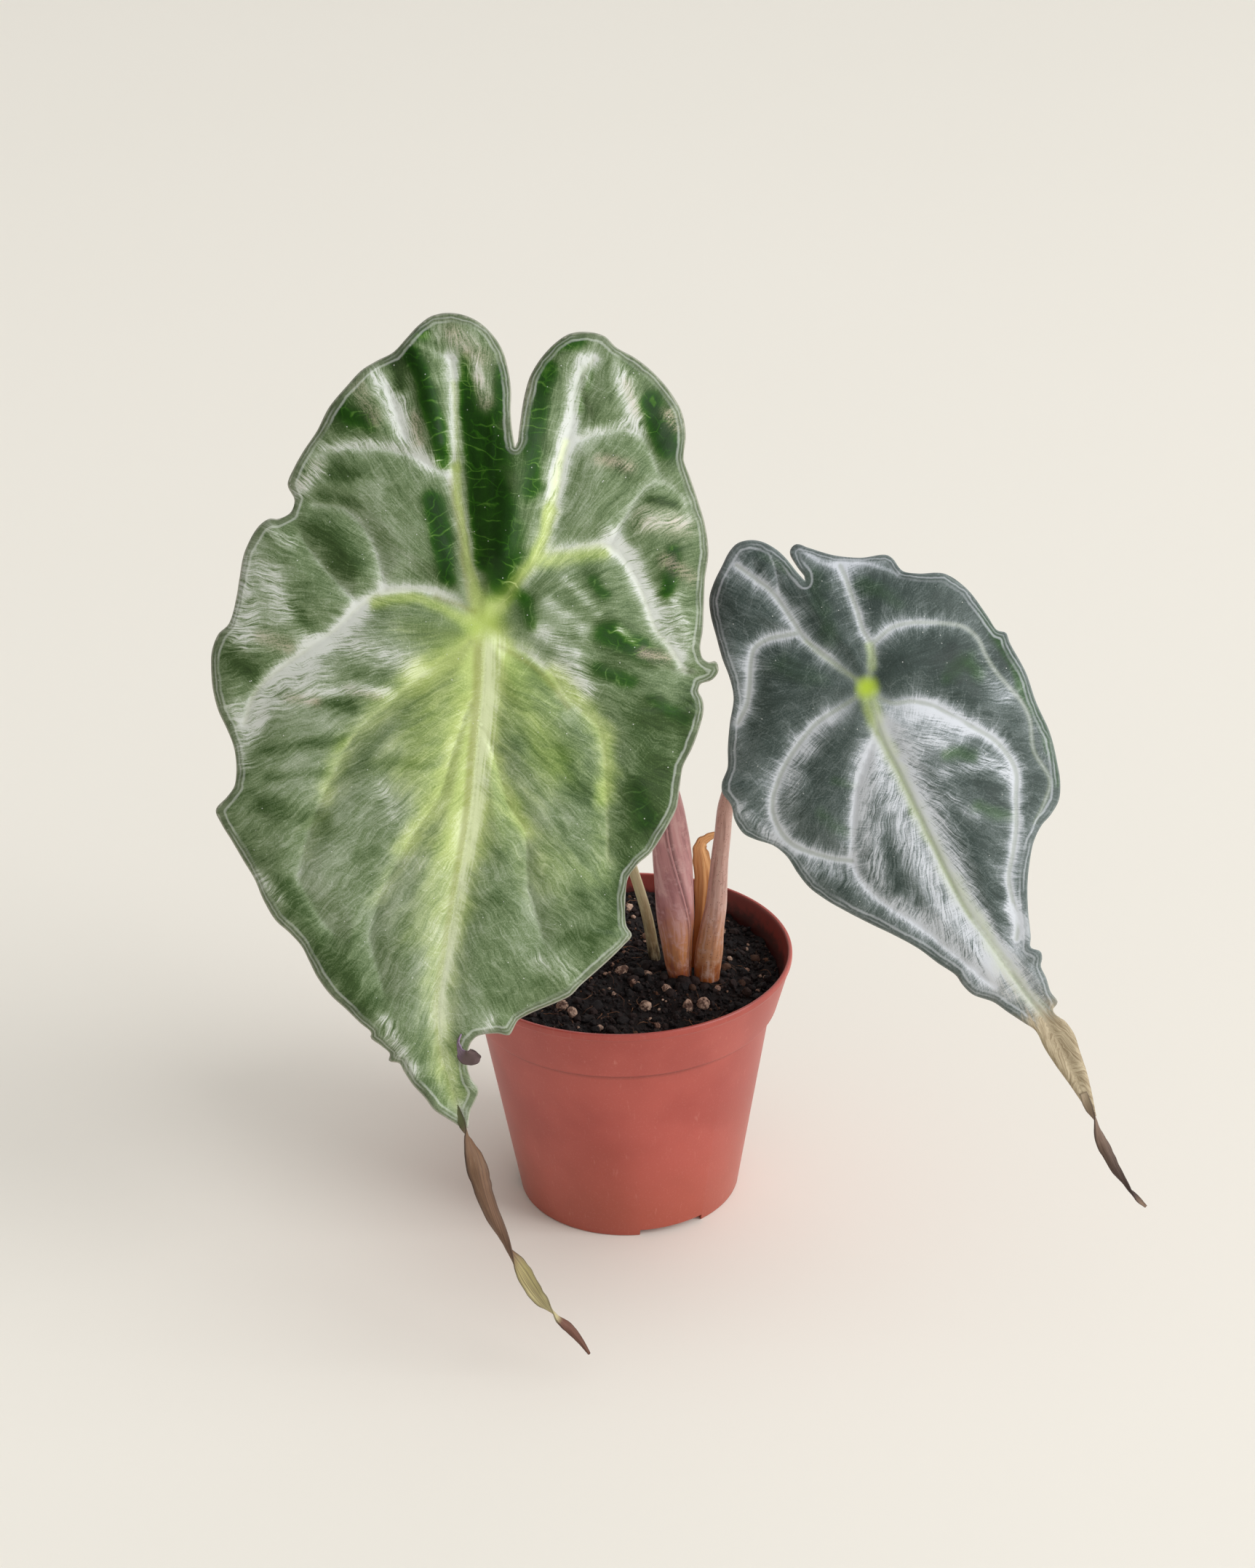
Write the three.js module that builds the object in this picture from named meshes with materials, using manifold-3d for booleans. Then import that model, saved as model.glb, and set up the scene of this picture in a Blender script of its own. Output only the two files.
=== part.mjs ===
// Potted alocasia: two large arrow-shaped leaves with sunken veins and dry twisted drip tips,
// each on its own stalk, with a slim cut stalk and a dry sheath between them, rooted in dark
// soil in a 12 cm plastic nursery pot.
// Millimetres, +Z up. The pot's axis is the Z axis, its foot stands on z = 0, the front is -Y.
import * as THREE from 'three';
import { mergeVertices } from 'three/addons/utils/BufferGeometryUtils.js';
import Module from 'manifold-3d';

// Driving dimensions of the pot
const POT_HEIGHT = 95;
const RIM_RADIUS = 60;
const FOOT_RADIUS = 40;
const WALL = 1.4;
const LIP_HEIGHT = 20;
const LIP_FOOT_RADIUS = 54.6;
const WALL_TOP_RADIUS = 52.4;
const FOOT_RISE = 2.5;
const FLOOR_THICKNESS = 2;
const FOOT_RING_WIDTH = 3;
const CENTRE_PAD_RADIUS = 12;
const POT_SIDES = 40;
const NOTCH_COUNT = 3;
const NOTCH_FIRST_TURN = -68;
const NOTCH_WIDTH = 24;
const DRAIN_COUNT = 6;
const DRAIN_RADIUS = 3.2;
const DRAIN_CIRCLE = 25;

// Driving dimensions of the soil
const FIT_GAP = 0.3;
const SOIL_LEVEL = 87;
const SOIL_SLOPE = [-0.06, 0.05];
const SOIL_MOUND = 1.2;
const SOIL_MOUND_CENTRE = [24, -3];
const SOIL_MOUND_REACH = 17;
const SOIL_RINGS = 7;
const CRUMB_COUNT = 20;
const PUMICE_COUNT = 17;

// Driving dimensions of the leaves
const BLADE_THICKNESS = 0.8;
const BLADE_RINGS = 8;
const SEAT_GAP = 0.32;
const DEGREE = Math.PI / 180;

// Each leaf is drawn flat, in its own plane: u to the right, v up the leaf and w out of its face,
// from the junction where the stalk meets the blade. turn and lift aim the face, spin rolls it.
// The rims run from the bottom of the notch between the lobes down to the neck of the drip tip.
// Height moves a point along its sight line, from this far in front of the junction.
const SIGHT_DISTANCE = 915;
const LEFT_LEAF = {
  junction: [-41, -60, 246],
  turn: 3,
  lift: 22.4,
  spin: 0,
  leftRim: [
    [12.2, 55.5], [11.6, 61], [11.4, 66.6], [11.8, 73], [11.2, 79.5], [9.6, 86], [6.1, 91.6], [0.9, 96],
    [-6, 98], [-12, 97.2], [-16.5, 94.2], [-19.9, 90.8], [-24.5, 86.4], [-30, 83.9], [-34.7, 81.2],
    [-40, 76], [-45.3, 70.2], [-49.4, 63], [-54, 56.8], [-57, 52], [-59.4, 46.7], [-57.5, 41.8],
    [-59, 37.9], [-63, 36.1], [-65.6, 36.3], [-69.2, 34], [-73.9, 26.2], [-75.9, 18.2], [-77.3, 11.8],
    [-80, 4], [-83.4, 1], [-85.7, -4.3], [-86.2, -9.8], [-86, -16.3], [-84.7, -22.9], [-82.3, -29],
    [-80.4, -35], [-80, -41.7], [-80.9, -47], [-83.4, -50.3], [-87.1, -54.2], [-85.5, -58.9],
    [-82.5, -64.4], [-79.1, -71], [-76.1, -76.6], [-73.7, -83.3], [-70.2, -90], [-66, -94.2],
    [-62.4, -98.7], [-60.2, -103.7], [-58, -108.7], [-54, -114.7], [-49.5, -119.3], [-45.3, -123.9],
    [-41.9, -127.2], [-42.2, -128.8], [-39, -131.5], [-36.3, -134.3], [-36.8, -136.5], [-33.5, -137.4],
    [-32.2, -140], [-29.5, -144.6], [-25.9, -149], [-23.2, -153], [-19.5, -155.8], [-16.4, -158],
    [-14.5, -159.6],
  ],
  leftShoulder: 29,
  rightRim: [
    [13.2, 57.3], [14.4, 64.3], [15.8, 70.7], [17.9, 77], [21.4, 82.4], [26, 87], [31, 90], [36.4, 90.4],
    [41.8, 88.9], [45.4, 85.2], [51.2, 81.7], [56.4, 77.2], [61.5, 71], [65, 64.4], [66.1, 57.3],
    [65.1, 49.2], [66.8, 43.8], [69.1, 36], [70.9, 28.5], [71.6, 19.8], [70.1, 11.2], [69.3, 2.1],
    [68.7, -4.7], [67.7, -10.2], [68.3, -13.5], [70.2, -14.9], [72.4, -14.6], [73.2, -17.6],
    [71.1, -20.4], [67.2, -21.7], [66.5, -23.9], [67.7, -26.6], [67.9, -29.9], [66, -36.5], [63.6, -42],
    [60.6, -47.4], [59.2, -54], [57.9, -60.6], [53.7, -68], [49, -74.5], [45.1, -77.6], [41.6, -81.9],
    [40.4, -88.4], [40.3, -97.2], [41.9, -100.4], [39.1, -103.5], [34.6, -107.6], [29.6, -111.7],
    [24.6, -115.8], [21.6, -118.6], [17.7, -120.3], [11.8, -122.4], [7.9, -123.9], [4.5, -125.7],
    [2.9, -128.3], [1.6, -130.2], [-1.9, -129.5], [-5.8, -129.5], [-8.7, -130.1], [-10.7, -132],
    [-12, -135.3], [-12.2, -139.6], [-11.2, -143.6], [-9, -147.3], [-10.1, -150.4], [-11.9, -153.7],
    [-12.6, -157.6], [-12.9, -159.2],
  ],
  rightShoulder: 20,
  spine: [[4.5, 0], [0.5, -14], [-3, -32], [-5.5, -50], [-7.5, -60], [-12, -80], [-16.5, -100],
    [-20.5, -120], [-20.6, -135], [-17.8, -148], [-13.7, -159.4]],
  spineSteps: 18,
  mainVeins: [
    [[0, 0], [-1.5, -20], [-4.6, -41], [-7.5, -60], [-12, -80], [-16.5, -100], [-20.5, -120], [-20, -135],
      [-17, -148], [-13.4, -160]],
    [[0, 0], [-3.3, 5.5], [-3.4, 16.3], [-4.5, 27], [-5.7, 36], [-7.4, 45.7], [-6.9, 56.5], [-6.4, 67.3],
      [-6, 77], [-6.2, 83.5]],
    [[0, 0], [4.3, 5.2], [11.1, 13.6], [17.5, 20.9], [21.7, 30.5], [24.9, 41.2], [27, 52], [30.2, 61.5],
      [31.7, 71], [34.7, 77.5], [38.2, 81.7]],
    [[0, 0], [-5.5, 5.6], [-9.7, 9], [-18.2, 12], [-24.7, 12.4], [-31.2, 12], [-37.9, 8], [-47, 0.4],
      [-55, -4.7], [-66, -11.8], [-73, -18], [-76.7, -27.7]],
    [[17.5, 20.5], [25.6, 22.2], [33.3, 23], [39.8, 23.2], [44, 19.8], [48, 13.2], [50.9, 5.5], [54, -4],
      [58.4, -10], [62.4, -17.6]],
    [[0, 0], [5, -5], [13.5, -10], [20, -16], [24, -22.6], [29, -28], [34, -33], [35.6, -40.7],
      [35.7, -60], [35.6, -71], [30, -94], [7.4, -116.5]],
  ],
  sideVeins: [
    [[-8.5, 46.8], [-20.6, 54.3], [-29, 56.3], [-40, 57.3], [-49.8, 55]],
    [[-22.4, 60.4], [-27.1, 76.8]],
    [[-6.2, 83.5], [-16.8, 88.2]],
    [[-30.6, 12], [-32.8, 24], [-36.7, 32.8], [-42, 38.5], [-51.6, 40]],
    [[-40, 9], [-50.3, 21.5], [-56.4, 30.4]],
    [[-5, -5], [-21, -15], [-43, -33], [-56, -57], [-59.7, -66.6], [-62.3, -77], [-55.6, -91], [-52, -95]],
    [[-6, -25], [-11.4, -38], [-16.4, -52.7], [-27.8, -68], [-37, -84], [-41, -96.6], [-37.5, -114]],
    [[28.6, 56], [37, 58], [45.8, 59.2], [51.7, 57.4], [57.6, 43]],
    [[40.8, 23.6], [45.6, 31.7], [51.4, 40], [56.4, 43], [63.3, 38.5], [66.2, 30.8]],
    [[-4, -30], [0.3, -38], [4.7, -56.7], [9.7, -65.6], [9.8, -84], [13.5, -99.4]],
  ],
  crests: [
    { line: [[12.5, 62], [11, 40], [8.5, 22]], height: 6, reach: 8 },
    { line: [[-17, 88], [-13.5, 74], [-11, 58]], height: 3, reach: 4 },
  ],
  archLeft: 0.0019,
  archRight: 0.0021,
  archTop: 0.0016,
  archTip: 0.00062,
  puff: 3.2,
  puffReach: 6.5,
  sideVeinRise: 2.4,
  ruffle: [[11, 0.9, 0.3], [17, 0.7, 2.1], [31, 0.35, 4.0]],
  ribbons: [
    {
      path: [[-17.6, -150, 0], [-14.4, -157.5, 0], [-13.2, -161.5, 0.3], [-11, -168.5, 0],
        [-9.9, -175, -0.8], [-8.8, -180.4, -2], [-6.1, -189.6, -4], [-2, -199.8, -6.5], [1.4, -205.6, -8],
        [4.5, -210.6, -9.5], [8, -215.8, -11], [12.5, -221.3, -13], [16.4, -225.6, -14],
        [19.6, -229.8, -15], [22.4, -234.3, -16]],
      width: [2.4, 3, 5, 6.6, 6.6, 6, 5.2, 5.2, 5.4, 5.4, 5, 3.6, 3.2, 2.2, 0.9],
      twist: [0, 45, 92, 145, 172, 180, 200, 270, 325, 360, 385, 450, 520, 540, 545],
      rootEdge: 0,
      steps: 26,
    },
    {
      path: [[-14, -131, 0], [-12.3, -133.6, -0.6], [-11.6, -136.4, -1], [-9.8, -138.7, -1.2],
        [-7.2, -139, -1.2], [-5.5, -137.2, -1.2], [-5.9, -135.1, -1.2], [-7.7, -134.7, -1.2]],
      width: [2, 3.4, 4.2, 4.6, 4.6, 4.4, 4, 3.2],
      twist: [60, 75, 90, 90, 90, 90, 90, 90],
      rootEdge: 0.9,
      steps: 14,
    },
  ],
};

const RIGHT_LEAF = {
  junction: [80, -60, 221],
  turn: -5.3,
  lift: 23.7,
  spin: 27,
  leftRim: [
    [-2.7, 39.5], [-3.8, 43.2], [-5, 48.5], [-6.9, 53.2], [-9.4, 56.7], [-12.8, 59], [-16.8, 59.8],
    [-20.3, 58.5], [-24.3, 55.5], [-29.2, 51.7], [-32.5, 48], [-34.5, 42.8], [-35.8, 36.3], [-37.2, 29],
    [-37.9, 22.3], [-39.6, 16], [-44.2, 9.4], [-48.3, 2.5], [-51.2, -3.2], [-54.9, -6.7], [-56.2, -9.6],
    [-55.4, -14.4], [-56.5, -19.2], [-55.9, -24.4], [-53.5, -27.5], [-49, -32], [-46.7, -37],
    [-45.9, -43.4], [-44.6, -49], [-41.6, -54.9], [-37, -61.6], [-31.6, -68.8], [-26.7, -75],
    [-22, -81.8], [-18.5, -88.6], [-15, -94.7], [-14.4, -98.5], [-12.9, -102.5], [-8, -107.6],
    [-5.4, -112.4], [-2.2, -118], [-0.2, -121.5], [0, -128], [0.8, -134.6], [2, -141.4], [3, -148.4],
    [3.7, -154.6],
  ],
  leftShoulder: 16,
  rightRim: [
    [-2.2, 41], [-3, 45.2], [-2.9, 50], [0, 51.2], [3.1, 48.2], [9.1, 42.6], [16.6, 38], [23.8, 35.6],
    [25.3, 33.3], [26.4, 28.5], [30.3, 25.6], [37.8, 21.8], [42, 14.4], [44, 4], [44.8, -1.7],
    [46.9, -3.6], [46.6, -7], [47, -17.9], [45.8, -27.5], [45.4, -38.4], [43.3, -48], [41.3, -54.2],
    [38.4, -58.9], [33.8, -62], [30.5, -63.4], [25.8, -67], [21.4, -72.8], [17.7, -79], [14.4, -86.3],
    [11.6, -93.9], [10.1, -97], [12.3, -99.6], [11.7, -101.8], [10.3, -103.6], [10.1, -108],
    [9.4, -112.6], [10, -116.4], [7.8, -117.8], [7.8, -119.6], [9.6, -123], [10.3, -128], [9.5, -133.5],
    [8.6, -140], [7, -147.3], [5.2, -154.4],
  ],
  rightShoulder: 13,
  spine: [[-1, 2], [-1.8, -14], [-2.5, -30], [-2.8, -45], [-3, -60], [-2.8, -77], [-0.9, -89], [0.6, -100],
    [2.2, -110], [4, -119], [5.1, -128], [5.3, -140], [4.5, -154.5]],
  spineSteps: 18,
  mainVeins: [
    [[0, 0], [-2.6, -16], [-2.5, -30], [-2.8, -45], [-3, -60], [-2.8, -77], [-0.7, -89], [1, -100],
      [2.5, -110], [4.3, -119], [5, -135], [4.5, -154]],
    [[0, 0], [-4.9, 10.4], [-8.5, 17.5], [-11, 23.2], [-11.7, 28.9], [-13.7, 41], [-16.8, 47.4],
      [-20, 53.4]],
    [[0, 0], [2, 3], [4.7, 6.6], [7.2, 11.6], [6.8, 17], [7.8, 22.8], [8.5, 28.7], [9.2, 34.6],
      [9.3, 38.5]],
    [[-11.7, 25.3], [-16.3, 26.7], [-21.8, 28], [-26.6, 27.3], [-29.8, 23.6], [-33.3, 17.3], [-37, 12],
      [-42, 8.3]],
    [[-3, -1], [-10.8, -1.8], [-19.3, -2.9], [-27, -6.2], [-33.5, -10], [-39, -14.5], [-43.7, -20.2],
      [-45, -26.6], [-43.5, -34], [-32.5, -44.5]],
    [[7.2, 11.6], [10.4, 12.7], [15.3, 13.8], [21.7, 12.4], [28.8, 8.9], [35.4, 4.3], [38, -1],
      [38, -7.2], [38.5, -12.8], [40.3, -20], [41.7, -26], [41.4, -32], [38.3, -41], [38.7, -52],
      [34.5, -57], [28.5, -62]],
    [[1, -3], [4.8, -7.7], [10.6, -10], [15.8, -14], [20, -19.7], [24.7, -26.4], [28.7, -32.8],
      [30.5, -40], [30.2, -45], [26.7, -52], [23, -60], [17.8, -68], [13.5, -74], [11.5, -81],
      [10, -88], [7.2, -92.7]],
  ],
  sideVeins: [
    [[-12.5, 38], [-10.4, 44.2], [-9.3, 49], [-9.4, 53.5]],
    [[-2.6, -12], [-5.4, -16], [-13.6, -23.5], [-17.8, -28.6], [-23, -37], [-27.3, -45], [-28.9, -51.2],
      [-28, -57.6], [-24.8, -65], [-20.4, -72.3], [-16.7, -79], [-5.8, -103]],
    [[9.3, 38.5], [5, 41.5], [0, 49.3]],
    [[9.3, 38.5], [15.2, 36.9], [20.2, 32.7], [24.8, 27.8]],
  ],
  crests: [
    { line: [[-2, 52], [3.1, 48.2], [9.1, 42.6], [16.6, 38], [25, 34]], height: -8, reach: 4 },
  ],
  archLeft: 0.0026,
  archRight: 0.0085,
  archTop: 0.003,
  archTip: 0.0007,
  puff: 2.2,
  puffReach: 6,
  sideVeinRise: 2,
  ruffle: [[9, 0.7, 1.2], [14, 0.55, 0.4], [27, 0.3, 3.0]],
  ribbons: [
    {
      path: [[4.6, -146, 0], [4.5, -151, 0], [4.4, -155.6, 0.2], [3.4, -161.5, 0], [3.1, -166.5, -0.6],
        [3.2, -173, -1.6], [3.9, -179.6, -2.8], [5.2, -184, -3.6], [6.5, -187.2, -4.2]],
      width: [2.6, 3, 3.4, 3.8, 3.8, 3.2, 2.2, 1.8, 0.9],
      twist: [0, 40, 92, 150, 175, 190, 255, 330, 350],
      rootEdge: 0,
      steps: 16,
    },
  ],
};

// Driving dimensions of the stalks: points on the axis from below the soil up, with the
// half width and half depth of the section at each point
const LEFT_STALK_BEND = 13;
const LEFT_STALK = {
  axis: [[19.8, -3.6, 62], [19.9, -4, 85], [19.4, -4.3, 92], [19, -4.6, 99], [18.7, -5.5, 112],
    [17.9, -9, 136], [17, -12, 151], [15.4, -15.6, 165], [9.5, -21, 187], [-3, -29, 211],
    [-21, -38, 229]],
  size: [[3.4, 3.2], [3.9, 3.6], [4.7, 4.2], [5.4, 4.7], [6.7, 5], [6.8, 4.6], [5.8, 4.2], [4.8, 4],
    [4.1, 3.9], [3.8, 3.8], [3.7, 3.7], [3.9, 3.9], [4.4, 4.4]],
  flap: 0.7,
  steps: 24,
};
const RIGHT_STALK_BEND = 12;
const RIGHT_STALK = {
  axis: [[29.2, -5, 62], [29.4, -5, 86], [30.2, -5.5, 96], [31.3, -6, 106], [32.9, -6.5, 115.6],
    [33.6, -7, 125], [34.2, -8.5, 135], [35.2, -11, 145.5], [36.6, -16, 160.3], [43, -26, 182],
    [58, -38, 202]],
  size: [[3, 3], [4.4, 4.1], [4.8, 4.3], [4.2, 3.9], [3.7, 3.5], [3.3, 3.2], [3, 3], [2.85, 2.85],
    [2.75, 2.75], [2.6, 2.6], [2.6, 2.6], [2.8, 2.8], [3.4, 3.4]],
  flap: 0,
  steps: 24,
};
const SLIM_STALK = {
  axis: [[13, 9, 66], [11.3, 8.1, 85], [10.2, 7, 94], [8.5, 5, 106], [4.4, 2, 124.4], [-1.5, -1.4, 146],
    [-6.5, -4, 160]],
  size: [[2, 2], [2.1, 2.1], [2, 2], [1.9, 1.9], [1.8, 1.8], [1.6, 1.6], [1.2, 1.1]],
  flap: 0,
  steps: 18,
};
const STALK_SIDES = 12;

// The dry sheath is a thin curled sheet: its axis, and its half width, curl and turn at each point
const SHEATH = {
  axis: [[25.6, 2, 70], [26, 2, 86], [27, 1.8, 100], [28.1, 1.6, 112], [28.7, 1.4, 122], [28.3, 1.3, 129],
    [27.6, 1.4, 133.8], [28.3, 2, 136.2], [30.3, 2.6, 137.4], [33, 3.6, 138.2], [36.6, 5, 136.6]],
  size: [[1.8, 0.5], [1.9, 0.6], [2.1, 0.8], [2.6, 1.2], [3.4, 1.5], [3.4, 1.3], [2.6, 0.9], [1.9, 0.6],
    [1.6, 0.4], [1.2, 0.2], [0.7, 0.1]],
  thickness: 0.8,
  steps: 18,
  facets: 4,
};

// Finishes
const FINISH = {
  pot: { color: 0xbe5f55, roughness: 0.55, metalness: 0 },
  soil: { color: 0x1d1512, roughness: 1, metalness: 0 },
  leftBlade: { color: 0x6f9150, roughness: 0.5, metalness: 0 },
  rightBlade: { color: 0x55685f, roughness: 0.42, metalness: 0 },
  leftStalk: { color: 0xb98785, roughness: 0.5, metalness: 0 },
  rightStalk: { color: 0xc5a598, roughness: 0.5, metalness: 0 },
  slimStalk: { color: 0xb5ab76, roughness: 0.5, metalness: 0 },
  sheath: { color: 0xcd9155, roughness: 0.75, metalness: 0 },
};

const wasm = await Module();
wasm.setup();

function vector([x, y, z = 0]) {
  return new THREE.Vector3(x, y, z);
}

function clamp01(x) {
  return Math.min(1, Math.max(0, x));
}

// A fixed pseudo-random number from 0 to 1 for each whole number
function draw(index) {
  const wave = Math.sin(index * 12.9898 + 4.1414) * 43758.5453;
  return wave - Math.floor(wave);
}

function distanceToLine(line, u, v) {
  let nearest = Infinity;
  for (let i = 1; i < line.length; i += 1) {
    const [au, av] = line[i - 1];
    const du = line[i][0] - au;
    const dv = line[i][1] - av;
    const along = clamp01(((u - au) * du + (v - av) * dv) / (du * du + dv * dv));
    nearest = Math.min(nearest, Math.hypot(u - au - along * du, v - av - along * dv));
  }
  return nearest;
}

// Solids: triangle lists to closed meshes, and boolean joins and cuts between them
function geometryOf(points, triangles) {
  const geometry = new THREE.BufferGeometry();
  const positions = points.flatMap((p) => [p.x, p.y, p.z]);
  geometry.setAttribute('position', new THREE.Float32BufferAttribute(positions, 3));
  geometry.setIndex(triangles.flat());
  return geometry;
}

function toManifold(geometry) {
  const bare = geometry.clone();
  bare.deleteAttribute('normal');
  bare.deleteAttribute('uv');
  const merged = mergeVertices(bare, 1e-4);
  return new wasm.Manifold(new wasm.Mesh({
    numProp: 3,
    vertProperties: new Float32Array(merged.attributes.position.array),
    triVerts: new Uint32Array(merged.index.array),
  }));
}

function fromManifold(solid) {
  const mesh = solid.getMesh();
  const geometry = new THREE.BufferGeometry();
  geometry.setAttribute('position', new THREE.BufferAttribute(new Float32Array(mesh.vertProperties), 3));
  geometry.setIndex(new THREE.BufferAttribute(new Uint32Array(mesh.triVerts), 1));
  return geometry;
}

// A solid through closed rings of points, each ring counter-clockwise seen from ahead
function loft(rings) {
  const count = rings[0].length;
  const points = rings.flat();
  const triangles = [];
  for (let k = 1; k < rings.length; k += 1) {
    for (let i = 0; i < count; i += 1) {
      const next = (i + 1) % count;
      const a = (k - 1) * count + i;
      const b = (k - 1) * count + next;
      triangles.push([a, b, k * count + next], [a, k * count + next, k * count + i]);
    }
  }
  const centre = (ring) => ring.reduce((sum, p) => sum.add(p), new THREE.Vector3()).divideScalar(count);
  const first = points.push(centre(rings[0])) - 1;
  const last = points.push(centre(rings[rings.length - 1])) - 1;
  const top = (rings.length - 1) * count;
  for (let i = 0; i < count; i += 1) {
    const next = (i + 1) % count;
    triangles.push([first, next, i], [last, top + i, top + next]);
  }
  return geometryOf(points, triangles);
}

// Pot: tapered wall, a lip band that stands out over it, a raised floor on a notched foot ring
function potProfile() {
  const bead = 0.6;
  const floorTop = FOOT_RISE + FLOOR_THICKNESS;
  const lipFoot = POT_HEIGHT - LIP_HEIGHT;
  return [
    [0, 0],
    [CENTRE_PAD_RADIUS, 0],
    [CENTRE_PAD_RADIUS, FOOT_RISE],
    [FOOT_RADIUS - FOOT_RING_WIDTH, FOOT_RISE],
    [FOOT_RADIUS - FOOT_RING_WIDTH, 0],
    [FOOT_RADIUS - bead, 0],
    [FOOT_RADIUS, bead * 2],
    [WALL_TOP_RADIUS, lipFoot - 0.8],
    [LIP_FOOT_RADIUS - bead, lipFoot],
    [LIP_FOOT_RADIUS, lipFoot + bead],
    [RIM_RADIUS - bead, POT_HEIGHT - 3],
    [RIM_RADIUS, POT_HEIGHT - 2.2],
    [RIM_RADIUS, POT_HEIGHT - bead],
    [RIM_RADIUS - bead, POT_HEIGHT],
    [RIM_RADIUS - WALL - bead, POT_HEIGHT],
    [innerRadius(POT_HEIGHT - 2), POT_HEIGHT - 2],
    [innerRadius(lipFoot + 2), lipFoot + 2],
    [innerRadius(lipFoot - 2), lipFoot - 2],
    [innerRadius(floorTop), floorTop],
    [0, floorTop],
  ];
}

// Inner radius of the pot at a height: the wall up to the step, then the wider lip
function innerRadius(height) {
  const lipFoot = POT_HEIGHT - LIP_HEIGHT;
  if (height <= lipFoot - 2) {
    return THREE.MathUtils.mapLinear(height, 0, lipFoot, FOOT_RADIUS - 0.4, WALL_TOP_RADIUS) - WALL;
  }
  if (height < lipFoot + 2) {
    const step = (height - lipFoot + 2) / 4;
    return THREE.MathUtils.lerp(innerRadius(lipFoot - 2), innerRadius(lipFoot + 2), step);
  }
  return THREE.MathUtils.mapLinear(height, lipFoot, POT_HEIGHT, LIP_FOOT_RADIUS, RIM_RADIUS) - WALL;
}

function lathe(profile, sides) {
  const geometry = new THREE.LatheGeometry(profile.map(([r, z]) => new THREE.Vector2(r, z)), sides);
  return geometry.rotateX(Math.PI / 2);
}

function potGeometry() {
  let pot = toManifold(lathe(potProfile(), POT_SIDES));
  for (let i = 0; i < NOTCH_COUNT; i += 1) {
    const notch = new THREE.BoxGeometry(FOOT_RADIUS, NOTCH_WIDTH, 2 * FOOT_RISE);
    notch.translate(FOOT_RADIUS, 0, 0);
    notch.rotateZ((NOTCH_FIRST_TURN + (i * 360) / NOTCH_COUNT) * DEGREE);
    pot = pot.subtract(toManifold(notch));
  }
  for (let i = 0; i < DRAIN_COUNT; i += 1) {
    const drain = new THREE.CylinderGeometry(DRAIN_RADIUS, DRAIN_RADIUS, 3 * FOOT_RISE, 12);
    drain.rotateX(Math.PI / 2);
    drain.translate(DRAIN_CIRCLE, 0, FOOT_RISE + FLOOR_THICKNESS / 2);
    drain.rotateZ(((i + 0.5) * 2 * Math.PI) / DRAIN_COUNT);
    pot = pot.subtract(toManifold(drain));
  }
  return fromManifold(pot);
}

// Soil: an uneven bed with lumps and pumice grains sunk in it, and plain holes for the stems
function soilHeight(x, y) {
  const [mx, my] = SOIL_MOUND_CENTRE;
  const away = Math.hypot(x - mx, y - my) / SOIL_MOUND_REACH;
  const rolls = Math.sin(0.21 * x + 1.3) * Math.cos(0.17 * y + 0.4) + 0.5 * Math.sin(0.43 * x - 0.37 * y);
  const slope = SOIL_SLOPE[0] * x + SOIL_SLOPE[1] * y;
  return SOIL_LEVEL + slope + 0.7 * rolls + SOIL_MOUND * Math.exp(-away * away);
}

function soilBed() {
  const floorTop = FOOT_RISE + FLOOR_THICKNESS + FIT_GAP;
  const lipFoot = POT_HEIGHT - LIP_HEIGHT;
  const wallAt = (height) => innerRadius(height) - 1.4 * FIT_GAP;
  const points = [];
  const triangles = [];
  const circle = (place) => {
    const start = points.length;
    for (let i = 0; i < POT_SIDES; i += 1) {
      const angle = (i * 2 * Math.PI) / POT_SIDES;
      const { radius, height } = place(Math.cos(angle), Math.sin(angle), start + i);
      points.push(new THREE.Vector3(radius * Math.cos(angle), radius * Math.sin(angle), height));
    }
    return start;
  };
  const onTop = (radius) => (x, y, seed) => (
    { radius, height: soilHeight(radius * x, radius * y) + 0.9 * (draw(seed) - 0.5) }
  );
  const atWall = (x, y, seed) => {
    const { height } = onTop(wallAt(SOIL_LEVEL))(x, y, seed);
    return { radius: wallAt(height), height };
  };
  const sides = [floorTop, lipFoot - 2.4, lipFoot + 1.6]
    .map((height) => circle(() => ({ radius: wallAt(height), height })));
  const rings = [circle(atWall)];
  for (let k = SOIL_RINGS - 1; k > 0; k -= 1) {
    rings.push(circle(onTop((wallAt(SOIL_LEVEL) * k) / SOIL_RINGS)));
  }
  const all = [...sides, ...rings];
  for (let k = 1; k < all.length; k += 1) {
    for (let i = 0; i < POT_SIDES; i += 1) {
      const next = (i + 1) % POT_SIDES;
      triangles.push([all[k - 1] + i, all[k - 1] + next, all[k] + next]);
      triangles.push([all[k - 1] + i, all[k] + next, all[k] + i]);
    }
  }
  const top = points.push(new THREE.Vector3(0, 0, soilHeight(0, 0))) - 1;
  const bottom = points.push(new THREE.Vector3(0, 0, floorTop)) - 1;
  const inner = rings[rings.length - 1];
  for (let i = 0; i < POT_SIDES; i += 1) {
    const next = (i + 1) % POT_SIDES;
    triangles.push([inner + i, inner + next, top], [sides[0] + next, sides[0] + i, bottom]);
  }
  return toManifold(geometryOf(points, triangles));
}

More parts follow.
